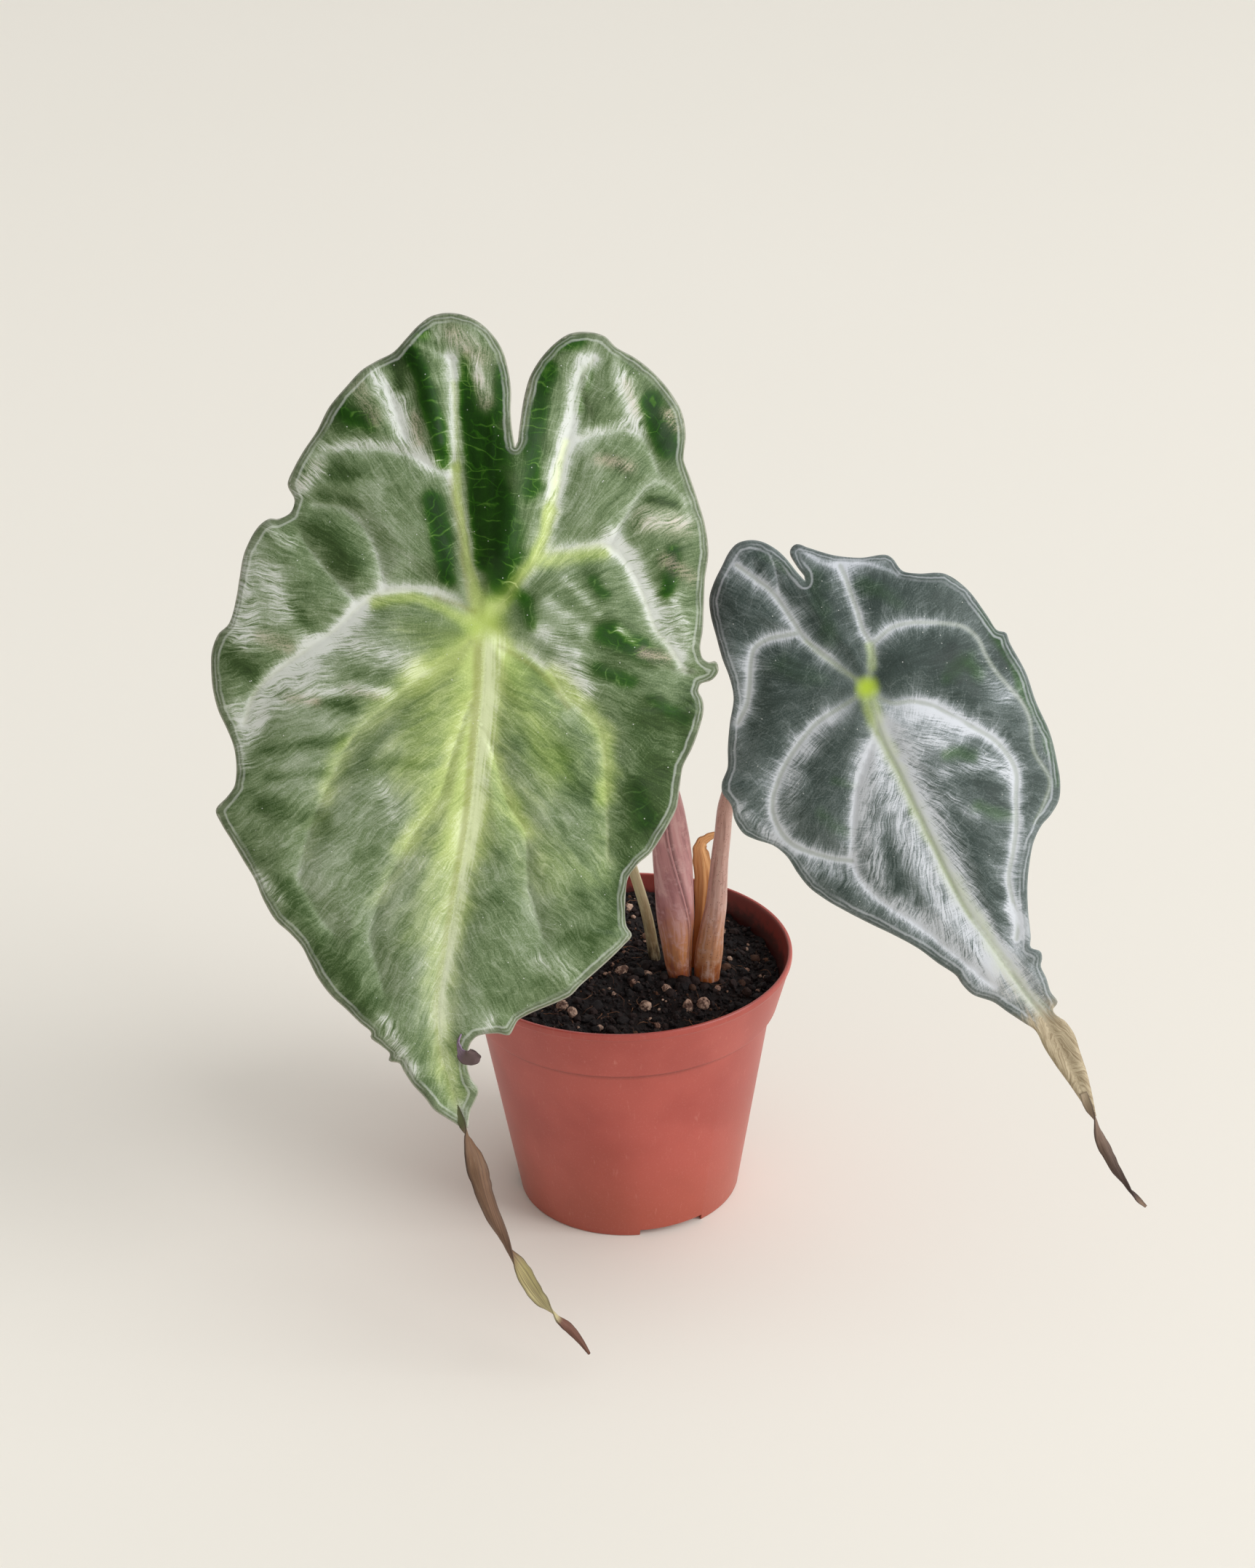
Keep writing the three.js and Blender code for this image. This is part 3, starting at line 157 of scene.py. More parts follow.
# Each leaf is drawn flat in its own plane: u to the right, v up the leaf, w out of its face.
LEFT_LEAF = {
    "name": "left",
    "junction": (-41, -60, 246),
    "turn": 3,
    "lift": 22.4,
    "spin": 0,
    "left_rim": [
        (12.2, 55.5), (11.6, 61), (11.4, 66.6), (11.8, 73), (11.2, 79.5), (9.6, 86), (6.1, 91.6), (0.9, 96),
        (-6, 98), (-12, 97.2), (-16.5, 94.2), (-19.9, 90.8), (-24.5, 86.4), (-30, 83.9), (-34.7, 81.2),
        (-40, 76), (-45.3, 70.2), (-49.4, 63), (-54, 56.8), (-57, 52), (-59.4, 46.7), (-57.5, 41.8),
        (-59, 37.9), (-63, 36.1), (-65.6, 36.3), (-69.2, 34), (-73.9, 26.2), (-75.9, 18.2), (-77.3, 11.8),
        (-80, 4), (-83.4, 1), (-85.7, -4.3), (-86.2, -9.8), (-86, -16.3), (-84.7, -22.9), (-82.3, -29),
        (-80.4, -35), (-80, -41.7), (-80.9, -47), (-83.4, -50.3), (-87.1, -54.2), (-85.5, -58.9),
        (-82.5, -64.4), (-79.1, -71), (-76.1, -76.6), (-73.7, -83.3), (-70.2, -90), (-66, -94.2),
        (-62.4, -98.7), (-60.2, -103.7), (-58, -108.7), (-54, -114.7), (-49.5, -119.3), (-45.3, -123.9),
        (-41.9, -127.2), (-42.2, -128.8), (-39, -131.5), (-36.3, -134.3), (-36.8, -136.5), (-33.5, -137.4),
        (-32.2, -140), (-29.5, -144.6), (-25.9, -149), (-23.2, -153), (-19.5, -155.8), (-16.4, -158),
        (-14.5, -159.6),
    ],
    # The rim's points up to this one take their grain from the top of the midrib
    "left_shoulder": 29,
    "right_rim": [
        (13.2, 57.3), (14.4, 64.3), (15.8, 70.7), (17.9, 77), (21.4, 82.4), (26, 87), (31, 90), (36.4, 90.4),
        (41.8, 88.9), (45.4, 85.2), (51.2, 81.7), (56.4, 77.2), (61.5, 71), (65, 64.4), (66.1, 57.3),
        (65.1, 49.2), (66.8, 43.8), (69.1, 36), (70.9, 28.5), (71.6, 19.8), (70.1, 11.2), (69.3, 2.1),
        (68.7, -4.7), (67.7, -10.2), (68.3, -13.5), (70.2, -14.9), (72.4, -14.6), (73.2, -17.6),
        (71.1, -20.4), (67.2, -21.7), (66.5, -23.9), (67.7, -26.6), (67.9, -29.9), (66, -36.5), (63.6, -42),
        (60.6, -47.4), (59.2, -54), (57.9, -60.6), (53.7, -68), (49, -74.5), (45.1, -77.6), (41.6, -81.9),
        (40.4, -88.4), (40.3, -97.2), (41.9, -100.4), (39.1, -103.5), (34.6, -107.6), (29.6, -111.7),
        (24.6, -115.8), (21.6, -118.6), (17.7, -120.3), (11.8, -122.4), (7.9, -123.9), (4.5, -125.7),
        (2.9, -128.3), (1.6, -130.2), (-1.9, -129.5), (-5.8, -129.5), (-8.7, -130.1), (-10.7, -132),
        (-12, -135.3), (-12.2, -139.6), (-11.2, -143.6), (-9, -147.3), (-10.1, -150.4), (-11.9, -153.7),
        (-12.6, -157.6), (-12.9, -159.2),
    ],
    "right_shoulder": 20,
    "spine": [(4.5, 0), (0.5, -14), (-3, -32), (-5.5, -50), (-7.5, -60), (-12, -80), (-16.5, -100),
              (-20.5, -120), (-20.6, -135), (-17.8, -148), (-13.7, -159.4)],
    # Each vein: its line, then the half width of its pale band at its start and at its end
    "main_veins": [
        ([(0, 0), (-1.5, -20), (-4.6, -41), (-7.5, -60), (-12, -80), (-16.5, -100), (-20.5, -120),
          (-20, -135), (-17, -148), (-13.4, -160)], 3.2, 1.6),
        ([(0, 0), (-3.3, 5.5), (-3.4, 16.3), (-4.5, 27), (-5.7, 36), (-7.4, 45.7), (-6.9, 56.5),
          (-6.4, 67.3), (-6, 77), (-6.2, 83.5)], 1.7, 1.8),
        ([(0, 0), (4.3, 5.2), (11.1, 13.6), (17.5, 20.9), (21.7, 30.5), (24.9, 41.2), (27, 52), (30.2, 61.5),
          (31.7, 71), (34.7, 77.5), (38.2, 81.7)], 2.3, 2.4),
        ([(0, 0), (-5.5, 5.6), (-9.7, 9), (-18.2, 12), (-24.7, 12.4), (-31.2, 12), (-37.9, 8), (-47, 0.4),
          (-55, -4.7), (-66, -11.8), (-73, -18), (-76.7, -27.7)], 1.9, 1.3),
        ([(17.5, 20.5), (25.6, 22.2), (33.3, 23), (39.8, 23.2), (44, 19.8), (48, 13.2), (50.9, 5.5),
          (54, -4), (58.4, -10), (62.4, -17.6)], 1.7, 1.2),
        ([(0, 0), (5, -5), (13.5, -10), (20, -16), (24, -22.6), (29, -28), (34, -33), (35.6, -40.7),
          (35.7, -60), (35.2, -76)], 1.7, 0.5),
    ],
    "side_veins": [
        ([(-8.5, 46.8), (-20.6, 54.3), (-29, 56.3), (-40, 57.3), (-49.8, 55)], 1.5, 0.8),
        ([(-22.4, 60.4), (-27.1, 76.8)], 1.6, 0.9),
        ([(-6.2, 83.5), (-16.8, 88.2)], 0.8, 0.5),
        ([(-30.6, 12), (-32.8, 24), (-36.7, 32.8), (-42, 38.5), (-51.6, 40)], 1.2, 0.7),
        ([(-40, 9), (-50.3, 21.5), (-56.4, 30.4)], 1.1, 0.6),
        ([(-5, -5), (-21, -15), (-43, -33), (-56, -57), (-59.7, -66.6), (-62.3, -77), (-55.6, -91),
          (-52, -95)], 0.9, 0.7),
        ([(-6, -25), (-11.4, -38), (-16.4, -52.7), (-27.8, -68), (-37, -84), (-41, -96.6),
          (-37.5, -114)], 1.2, 0.6),
        ([(28.6, 56), (37, 58), (45.8, 59.2), (51.7, 57.4), (57.6, 43)], 1.1, 0.7),
        ([(40.8, 23.6), (45.6, 31.7), (51.4, 40), (56.4, 43), (63.3, 38.5), (66.2, 30.8)], 1.5, 0.7),
        ([(-4, -30), (0.3, -38), (4.7, -56.7), (9.7, -65.6), (9.8, -84), (13.5, -99.4)], 1.0, 0.5),
    ],
    "crests": [
        ([(12.5, 62), (11, 40), (8.5, 22)], 6, 8),
        ([(-17, 88), (-13.5, 74), (-11, 58)], 3, 4),
    ],
    "arch_left": 0.0019,
    "arch_right": 0.0021,
    "arch_top": 0.0016,
    "arch_tip": 0.00062,
    "puff": 3.2,
    "puff_reach": 6.5,
    "side_vein_rise": 2.4,
    "ruffle": [(11, 0.9, 0.3), (17, 0.7, 2.1), (31, 0.35, 4.0)],
    "margin_vein": 3.0,
    # Soft colour zones: strokes, each with its line, half width and strength
    "zones": {
        "glow": [([(0, 4), (0, -8)], 7, 0.95), ([(-5, -8), (-20, -14)], 6, 0.7),
            ([(-14, -24), (-24, -44)], 13, 0.5), ([(9, -16), (20, -44)], 10, 0.5),
            ([(0, -10), (-7, -54), (-10, -68)], 7, 0.8),
            ([(-8, -62), (-16, -98), (-20, -128), (-17, -148)], 6.5, 0.5),
            ([(4, 6), (17, 22), (22, 34)], 2.6, 0.75), ([(19, 20), (37, 21)], 3.4, 0.6),
            ([(-2, 6), (-6, 36), (-7, 50)], 2.0, 0.7), ([(-6, 50), (-6, 76)], 1.4, 0.4),
            ([(22, 34), (28, 56)], 1.8, 0.6), ([(21, -17), (36, -36), (36, -56)], 4.0, 0.6),
            ([(36, -58), (33, -80)], 5.0, 0.25), ([(-34, 9), (-20, 9), (-6, 2)], 2.6, 0.65),
            ([(-14, -2), (-26, 0)], 6, 0.3), ([(6, -60), (18, -80)], 12, 0.35),
            ([(-21, -15), (-43, -33), (-52, -50)], 5.0, 0.45), ([(-54, -54), (-60, -68)], 5.0, 0.2),
            ([(-6, -25), (-16, -50), (-28, -68)], 4.0, 0.55), ([(-28, -68), (-38, -86)], 4.0, 0.3),
            ([(-2, -30), (5, -56), (10, -66)], 3.0, 0.45), ([(-14, -64), (-26, -96)], 9, 0.35)],
        "deep": [([(6.5, 12), (6.5, 30), (5, 50), (3, 62)], 5.5, 1.0), ([(7, 66), (9, 80)], 2.2, 0.7),
            ([(1, 20), (-0.5, 40), (-1.5, 60), (-2, 74)], 2.8, 1.0),
            ([(17, 42), (18, 60), (23, 79)], 3.6, 0.75), ([(-2, 84), (-2.5, 66)], 2.0, 0.7),
            ([(-18.5, 86), (-15, 74), (-12, 60), (-11, 52)], 2.8, 1.0),
            ([(-14, 40), (-12, 26), (-11, 16)], 3.2, 1.0), ([(-19, 93.5), (-14, 91)], 2.6, 0.7),
            ([(24, 85), (34, 87)], 2.4, 0.6), ([(56, 67), (60, 54)], 4.2, 1.0),
            ([(36, 78), (33, 66)], 2.8, 0.55), ([(60, 20), (58, 9)], 3.0, 0.8),
            ([(13, 8), (15, 0)], 3.2, 0.5), ([(35, 13), (38, 8)], 2.4, 0.55),
            ([(38, -4), (50, -11)], 4.2, 0.8), ([(35, -16), (45, -20)], 3, 0.6),
            ([(46, -54), (48, -64)], 4.5, 0.55), ([(52, -26), (62, -33)], 3, 0.5),
            ([(-42, 69), (-34, 65)], 4.2, 0.75), ([(12, -12), (20, -20)], 3, 0.35)],
        "shade": [([(-23.5, 83), (-23.5, 76)], 2.4, 0.9), ([(-46, 50), (-34, 49)], 2.6, 0.45),
            ([(-49, 42), (-38, 39)], 2.0, 0.6), ([(-50, 33), (-41, 20)], 4.5, 0.65),
            ([(-62, 10), (-54, 1)], 2.6, 0.6), ([(-78, -6), (-71, -16)], 4.2, 0.8),
            ([(-53, -22), (-43, -23)], 2.2, 0.7), ([(-72, -36), (-46, -34)], 2.2, 0.7),
            ([(-70, -45), (-52, -44)], 2.0, 0.55), ([(-72, -53), (-54, -60)], 4, 0.65),
            ([(-38, -42), (-26, -42)], 3, 0.4), ([(-68, -78), (-54, -100), (-44, -118)], 5, 0.5),
            ([(22, -42), (30, -54)], 4, 0.45), ([(42, -70), (40, -84)], 4, 0.4),
            ([(20, -102), (34, -98)], 4, 0.5), ([(40, 52), (46, 46)], 2.2, 0.5),
            ([(54, 37), (62, 35)], 1.4, 0.8), ([(-32, -60), (-44, -76)], 5, 0.3),
            ([(64, -22), (62, -46)], 3, 0.5), ([(50, -34), (54, -56)], 8, 0.5),
            ([(46, -66), (38, -90)], 6, 0.5)],
        "silver": [([(-31, 79), (-25, 69), (-20, 57), (-14, 51)], 2.8, 1.0),
            ([(-22, 72), (-21, 62)], 2.2, 0.6), ([(-48, 58), (-30, 58.5), (-18, 55)], 1.6, 0.6),
            ([(-57, 43), (-50, 51)], 2.8, 1.0), ([(-77, 23), (-76, 10), (-76, 0)], 5.4, 1.0),
            ([(-68, 20), (-63, 6)], 4.4, 0.7),
            ([(-38, 6.5), (-48, -3), (-57, -9), (-68, -18), (-75, -32)], 2.8, 1.0),
            ([(-56, -2), (-44, -5)], 3.0, 0.8), ([(-52, -12), (-66, -20)], 4.4, 0.65),
            ([(-31, -20), (-44, -18), (-57, -20)], 1.8, 0.85), ([(-40, -4), (-24, -13)], 4.4, 0.65),
            ([(-80, -22), (-77, -40)], 2.6, 0.7), ([(-60, 28), (-66, 34)], 2.4, 0.6),
            ([(23, 40), (27, 52), (31, 66), (35, 81)], 2.4, 1.0),
            ([(46, 77), (50, 66), (51, 60)], 2.8, 1.0), ([(36, 59), (48, 62)], 1.4, 0.5),
            ([(41, 26), (47, 18), (52, 8), (57, 0)], 3.0, 1.0), ([(53, 30), (64, 29)], 3.2, 0.7),
            ([(24, -14), (31, -22)], 3.2, 1.0), ([(18, -2), (27, -11)], 3.4, 0.8),
            ([(20, 6), (31, -3)], 2.6, 0.7), ([(60, 6), (64, -8)], 2.4, 0.7),
            ([(26, 14), (36, 2)], 1.6, 0.5), ([(42, -3), (47, -8)], 1.3, 0.9),
            ([(55, 3), (62, -12)], 2.2, 0.75), ([(13.5, 62), (15.5, 76)], 1.8, 0.75),
            ([(0, 84), (3.5, 73)], 2.4, 0.65), ([(-10, 91), (0, 88)], 3.6, 0.4),
            ([(-38, -124), (-30, -140)], 2.4, 0.8), ([(-11, -146), (-4, -124)], 1.6, 0.6),
            ([(12, -108), (24, -112)], 3, 0.4), ([(-76, -74), (-68, -84)], 2.0, 0.6),
            ([(-36, -50), (-32, -58)], 3, 0.4)],
        "haze": [([(-30, -44), (-28, -90), (-18, -120)], 12, 0.55), ([(16, -56), (12, -100)], 9, 0.35),
            ([(-58, -22), (-62, -44)], 14, 0.55), ([(-52, -60), (-54, -84)], 13, 0.6),
            ([(-8, -20), (-6, -60)], 12, 0.35), ([(-24, 26), (-34, 46)], 6, 0.5),
            ([(31, 34), (36, 52)], 6, 0.45), ([(-72, 24), (-64, 4)], 7, 0.35),
            ([(-12, -60), (-22, -100)], 6, 0.5), ([(-38, 2), (-24, -8)], 6, 0.45),
            ([(-66, -26), (-52, -28)], 4, 0.3)],
        # Painted sheen: pale pinkish patches where the face catches the light
        "painted_sheen": [([(-6, 91), (2, 84)], 3.2, 0.75), ([(2, 78), (4, 70)], 2.0, 0.7),
            ([(-36, 76), (-31, 66)], 2.4, 0.5), ([(-18, 58), (-18.5, 66)], 1.6, 0.8),
            ([(61, 64), (63, 60)], 1.8, 1.0), ([(38, 50), (48, 48)], 2.0, 0.8),
            ([(52, 31), (64, 28)], 3.4, 0.75), ([(14, 62), (17, 76)], 1.8, 0.6),
            ([(58, 18), (66, 12)], 2.2, 0.7), ([(49, -11), (57, -13)], 1.8, 0.9),
            ([(-63, -20), (-54, -21.5)], 1.6, 0.9), ([(-44, -18), (-34, -21)], 1.4, 0.5),
            ([(-70, 0), (-62, -4)], 2.6, 0.6), ([(-56, 46), (-50, 52)], 2.2, 0.5),
            ([(48, 74), (51, 64)], 1.6, 0.6)],
        # Painted shade: olive lines just below the vein ridges and along the left side of the veins
        "shade_and_stain": [([(-3, 4.4), (-9, 7.4), (-15, 9.6)], 0.9, 1.0),
            ([(4, -6.6), (12, -12), (18, -17), (25, -27)], 0.9, 0.8),
            ([(-4.6, 8), (-6.4, 28), (-8.6, 46)], 1.0, 0.9)],
    },
    # Finish: colour ramps from dark to light, plain colours, then how strongly each effect shows
    "look": {
        "plain": [(28, 46, 14), (60, 82, 42), (110, 128, 92), (156, 168, 144), (212, 216, 210)],
        "green": [(12, 44, 0), (34, 80, 2), (76, 114, 40), (134, 158, 110), (196, 208, 184)],
        "bright": [(52, 80, 18), (90, 118, 42), (134, 156, 78), (180, 196, 122), (226, 236, 190)],
        # Of the plain colours, the pinkish one paints the sheen and the olive one paints the shade under the
        # vein ridges and beside the midrib
        "painted_sheen": (196, 180, 162), "shade_and_stain": (126, 128, 66), "core": (158, 168, 110), "hub": (162, 186, 70),
        "border": (104, 110, 92), "rim": (196, 194, 182), "dry": None,
        "level": 0.48, "haze": 0.30, "dust": 0.50, "deepen": 0.46, "darken": 0.38, "lift": 0.10,
        "rim_lift": 0.0,
        "grain": 0.52, "hair": 1.2, "streak": 0.40, "cloud": 0.45, "stipple": 0.50, "calm": 0.4,
        "strand": (3.2, 0.22), "reach": 3.6, "twig_reach": 0.6, "fuzz": 0.34, "soft": 0.85, "fade": 0.4,
        "vein": 0.20, "vein_width": 1.4, "twig": 0.10, "twig_width": 2.2, "core_shade": 0.15,
        "net": 0.06, "net_deep": 0.36, "halo": 0.22, "halo_width": 5.4, "hub_reach": (8, 1),
        "hub_strength": 0.5,
        "midrib_width": 4.8, "midrib_lift": 0.42, "midrib_shade": 0.6, "border_strength": 0.45,
        "margin_line": 0.38,
    },
}
RIGHT_LEAF = {
    "name": "right",
    "junction": (80, -60, 221),
    "turn": -5.3,
    "lift": 23.7,
    "spin": 27,
    "left_rim": [
        (-2.7, 39.5), (-3.8, 43.2), (-5, 48.5), (-6.9, 53.2), (-9.4, 56.7), (-12.8, 59), (-16.8, 59.8),
        (-20.3, 58.5), (-24.3, 55.5), (-29.2, 51.7), (-32.5, 48), (-34.5, 42.8), (-35.8, 36.3), (-37.2, 29),
        (-37.9, 22.3), (-39.6, 16), (-44.2, 9.4), (-48.3, 2.5), (-51.2, -3.2), (-54.9, -6.7), (-56.2, -9.6),
        (-55.4, -14.4), (-56.5, -19.2), (-55.9, -24.4), (-53.5, -27.5), (-49, -32), (-46.7, -37),
        (-45.9, -43.4), (-44.6, -49), (-41.6, -54.9), (-37, -61.6), (-31.6, -68.8), (-26.7, -75),
        (-22, -81.8), (-18.5, -88.6), (-15, -94.7), (-14.4, -98.5), (-12.9, -102.5), (-8, -107.6),
        (-5.4, -112.4), (-2.2, -118), (-0.2, -121.5), (0, -128), (0.8, -134.6), (2, -141.4), (3, -148.4),
        (3.7, -154.6),
    ],
    "left_shoulder": 16,
    "right_rim": [
        (-2.2, 41), (-3, 45.2), (-2.9, 50), (0, 51.2), (3.1, 48.2), (9.1, 42.6), (16.6, 38), (23.8, 35.6),
        (25.3, 33.3), (26.4, 28.5), (30.3, 25.6), (37.8, 21.8), (42, 14.4), (44, 4), (44.8, -1.7),
        (46.9, -3.6), (46.6, -7), (47, -17.9), (45.8, -27.5), (45.4, -38.4), (43.3, -48), (41.3, -54.2),
        (38.4, -58.9), (33.8, -62), (30.5, -63.4), (25.8, -67), (21.4, -72.8), (17.7, -79), (14.4, -86.3),
        (11.6, -93.9), (10.1, -97), (12.3, -99.6), (11.7, -101.8), (10.3, -103.6), (10.1, -108),
        (9.4, -112.6), (10, -116.4), (7.8, -117.8), (7.8, -119.6), (9.6, -123), (10.3, -128), (9.5, -133.5),
        (8.6, -140), (7, -147.3), (5.2, -154.4),
    ],
    "right_shoulder": 13,
    "spine": [(-1, 2), (-1.8, -14), (-2.5, -30), (-2.8, -45), (-3, -60), (-2.8, -77), (-0.9, -89),
              (0.6, -100), (2.2, -110), (4, -119), (5.1, -128), (5.3, -140), (4.5, -154.5)],
    "main_veins": [
        ([(0, 0), (-2.6, -16), (-2.5, -30), (-2.8, -45), (-3, -60), (-2.8, -77), (-0.7, -89), (1, -100),
          (2.5, -110), (4.3, -119), (5, -135), (4.5, -154)], 2.4, 1.6),
        ([(0, 0), (-4.9, 10.4), (-8.5, 17.5), (-11, 23.2), (-11.7, 28.9), (-13.7, 41), (-16.8, 47.4),
          (-20, 53.4)], 2.2, 1.6),
        ([(0, 0), (2, 3), (4.7, 6.6), (7.2, 11.6), (6.8, 17), (7.8, 22.8), (8.5, 28.7), (9.2, 34.6),
          (9.3, 38.5)], 2.3, 1.6),
        ([(-11.7, 25.3), (-16.3, 26.7), (-21.8, 28), (-26.6, 27.3), (-29.8, 23.6), (-33.3, 17.3), (-37, 12),
          (-42, 8.3)], 2.3, 1.5),
        ([(-3, -1), (-10.8, -1.8), (-19.3, -2.9), (-27, -6.2), (-33.5, -10), (-39, -14.5), (-43.7, -20.2),
          (-45, -26.6), (-43.5, -34), (-34.5, -43.5), (-28.6, -47.4)], 2.5, 1.6),
        ([(7.2, 11.6), (10.4, 12.7), (15.3, 13.8), (21.7, 12.4), (28.8, 8.9)], 2.3, 1.2),
        ([(28.8, 8.9), (35.4, 4.3), (38, -1), (38, -7.2), (38.5, -12.8), (40.3, -20), (41.7, -26),
          (41.4, -32), (38.3, -41), (38.7, -52), (34.5, -57), (28.5, -62)], 1.0, 0.4),
        ([(1, -3), (4.8, -7.7), (10.6, -10), (15.8, -14), (20, -19.7), (24.7, -26.4), (28.7, -32.8),
          (30.5, -40), (30.2, -45), (26.7, -52), (23, -60), (17.8, -68), (13.5, -74), (11.5, -81),
          (10, -88), (7.2, -92.7)], 2.4, 1.6),
    ],
    "side_veins": [
        ([(-12.5, 38), (-10.4, 44.2), (-9.3, 49), (-9.4, 53.5)], 0.7, 0.5),
        ([(-2.6, -12), (-5.4, -16), (-13.6, -23.5), (-17.8, -28.6), (-23, -37), (-27.3, -45), (-28.9, -51.2),
          (-28, -57.6), (-24.8, -65), (-20.4, -72.3), (-16.7, -79), (-5.8, -103)], 2.0, 1.4),
        ([(9.3, 38.5), (5, 41.5), (0, 49.3)], 1.2, 0.8),
        ([(9.3, 38.5), (15.2, 36.9), (20.2, 32.7), (24.8, 27.8)], 1.2, 0.8),
    ],
    "crests": [
        ([(-2, 52), (3.1, 48.2), (9.1, 42.6), (16.6, 38), (25, 34)], -8, 4),
    ],
    "arch_left": 0.0026,
    "arch_right": 0.0085,
    "arch_top": 0.003,
    "arch_tip": 0.0007,
    "puff": 2.2,
    "puff_reach": 6,
    "side_vein_rise": 2,
    "ruffle": [(9, 0.7, 1.2), (14, 0.55, 0.4), (27, 0.3, 3.0)],
    "margin_vein": 2.6,
    "zones": {
        "glow": [([(-1, 0.5), (1, -0.5)], 2.6, 0.9), ([(4, 5), (6.6, 12)], 1.8, 0.7),
            ([(-1, -2), (-2.2, -10)], 2.0, 0.8),
            ([(-1, -4), (-2.6, -20), (-2.8, -60), (0, -94), (4, -118)], 3.0, 0.55)],
        "shade": [([(14, -38), (22, -48)], 4, 0.6), ([(-16, -47), (-18, -62)], 3, 0.7),
            ([(-34, 44), (-28, 30)], 5, 0.3), ([(14, 4), (28, -2), (32, -12)], 7, 0.5),
            ([(42, 8), (43, -12)], 4, 0.5), ([(14, 30), (26, 20)], 7, 0.3)],
        "deep": [([(24, -8), (31, -6), (33, -12)], 4.6, 0.5), ([(15, -50), (22, -56)], 3.4, 0.55),
            ([(14, -30), (20, -33)], 3.4, 0.55), ([(-22, -22), (-18, -26)], 2.8, 0.45),
            ([(0, 40), (-3, 20)], 5, 0.4), ([(12, 30), (20, 22)], 5, 0.4),
            ([(43, 6), (44, -14), (44, -42), (41, -54)], 2.2, 0.7), ([(-22, 20), (-14, 12)], 6, 0.35),
            ([(-12, 54), (-6, 46)], 3, 0.4), ([(-30, -30), (-26, -38)], 4, 0.35)],
        "silver": [([(1.5, -12), (1.5, -30), (1.5, -50), (1, -62), (-0.5, -78), (2, -100)], 3.8, 1.0),
            ([(5, -14), (14, -17), (20, -24)], 4, 0.9), ([(5, -22), (14, -25)], 4, 0.85),
            ([(-8, -20), (-9, -40), (-9, -60), (-8, -80), (-4, -96)], 4.6, 0.85),
            ([(-12, -24), (-19, -40), (-23, -56)], 4, 0.75),
            ([(-22, -66), (-12, -82), (-4, -100)], 3.4, 0.8), ([(8, -35), (22, -38)], 2.6, 0.7),
            ([(23, -36), (28, -46)], 2.6, 0.8), ([(10, -82), (12, -94)], 2.4, 1.0),
            ([(-8, -4), (-20, -7), (-30, -13), (-37, -22)], 3, 0.6), ([(-53, -16), (-47, -32)], 2.4, 0.6),
            ([(8, -42), (13, -52)], 2, 0.5), ([(34, -12), (38, -24)], 3, 0.4),
            ([(-40, -44), (-30, -58)], 3, 0.4)],
        "haze": [([(-18, -30), (-12, -70)], 8, 0.5), ([(8, -20), (16, -50)], 7, 0.5),
            ([(0, -96), (4, -108)], 9, 0.8), ([(-30, 34), (-38, 22)], 6, 0.35),
            ([(-46, -6), (-40, -40)], 6, 0.35), ([(30, -30), (36, -20)], 6, 0.3)],
        # Painted sheen: pale pinkish patches where the face catches the light
        "painted_sheen": [([(0, -106), (6, -116)], 6, 0.5)],
        # Painted shade: olive lines just below the vein ridges and along the midrib's left side
        "shade_and_stain": [([(-2, 4), (-6, 11), (-11, 22)], 0.7, 0.8), ([(-3.4, -6), (-3.8, -14)], 1.0, 0.9),
            ([(-3.2, -14), (-3, -40), (-3.4, -62), (-2.6, -80)], 0.6, 0.8)],
    },
    "look": {
        "plain": [(34, 44, 40), (62, 74, 70), (104, 114, 112), (150, 157, 160), (204, 208, 214)],
        "green": [(22, 46, 20), (46, 74, 42), (88, 112, 84), (142, 155, 140), (194, 203, 193)],
        "bright": [(60, 78, 42), (100, 118, 70), (142, 158, 108), (174, 188, 146), (204, 212, 190)],
        # Of the plain colours, the pinkish one paints the sheen and the olive one paints the shade under the
        # vein ridges and beside the midrib
        "painted_sheen": (186, 176, 160), "shade_and_stain": (126, 138, 78), "core": (128, 138, 112), "hub": (178, 204, 48),
        "border": (88, 98, 94), "rim": (150, 158, 156), "dry": (-112, -122),
        "level": 0.32, "haze": 0.34, "dust": 0.52, "deepen": 0.10, "darken": 0.26, "lift": 0.10,
        "rim_lift": 0.12,
        "grain": 0.42, "hair": 0.9, "streak": 0.30, "cloud": 0.42, "stipple": 0.6, "calm": 0.7,
        "strand": (2.8, 0.16), "reach": 3.8, "twig_reach": 0.9, "fuzz": 0.52, "soft": 0.2, "fade": 1.0,
        "vein": 0.26, "vein_width": 0.85, "twig": 0.20, "twig_width": 0.8, "core_shade": 0.4,
        "net": 0.11, "net_deep": 0.14, "halo": 0.0, "halo_width": 3.0, "hub_reach": (5.4, 0.6),
        "hub_strength": 0.85, "midrib_width": 2.6, "midrib_lift": 0.2, "midrib_shade": 0.35,
        "border_strength": 0.4, "margin_line": 0.45,
    },
}

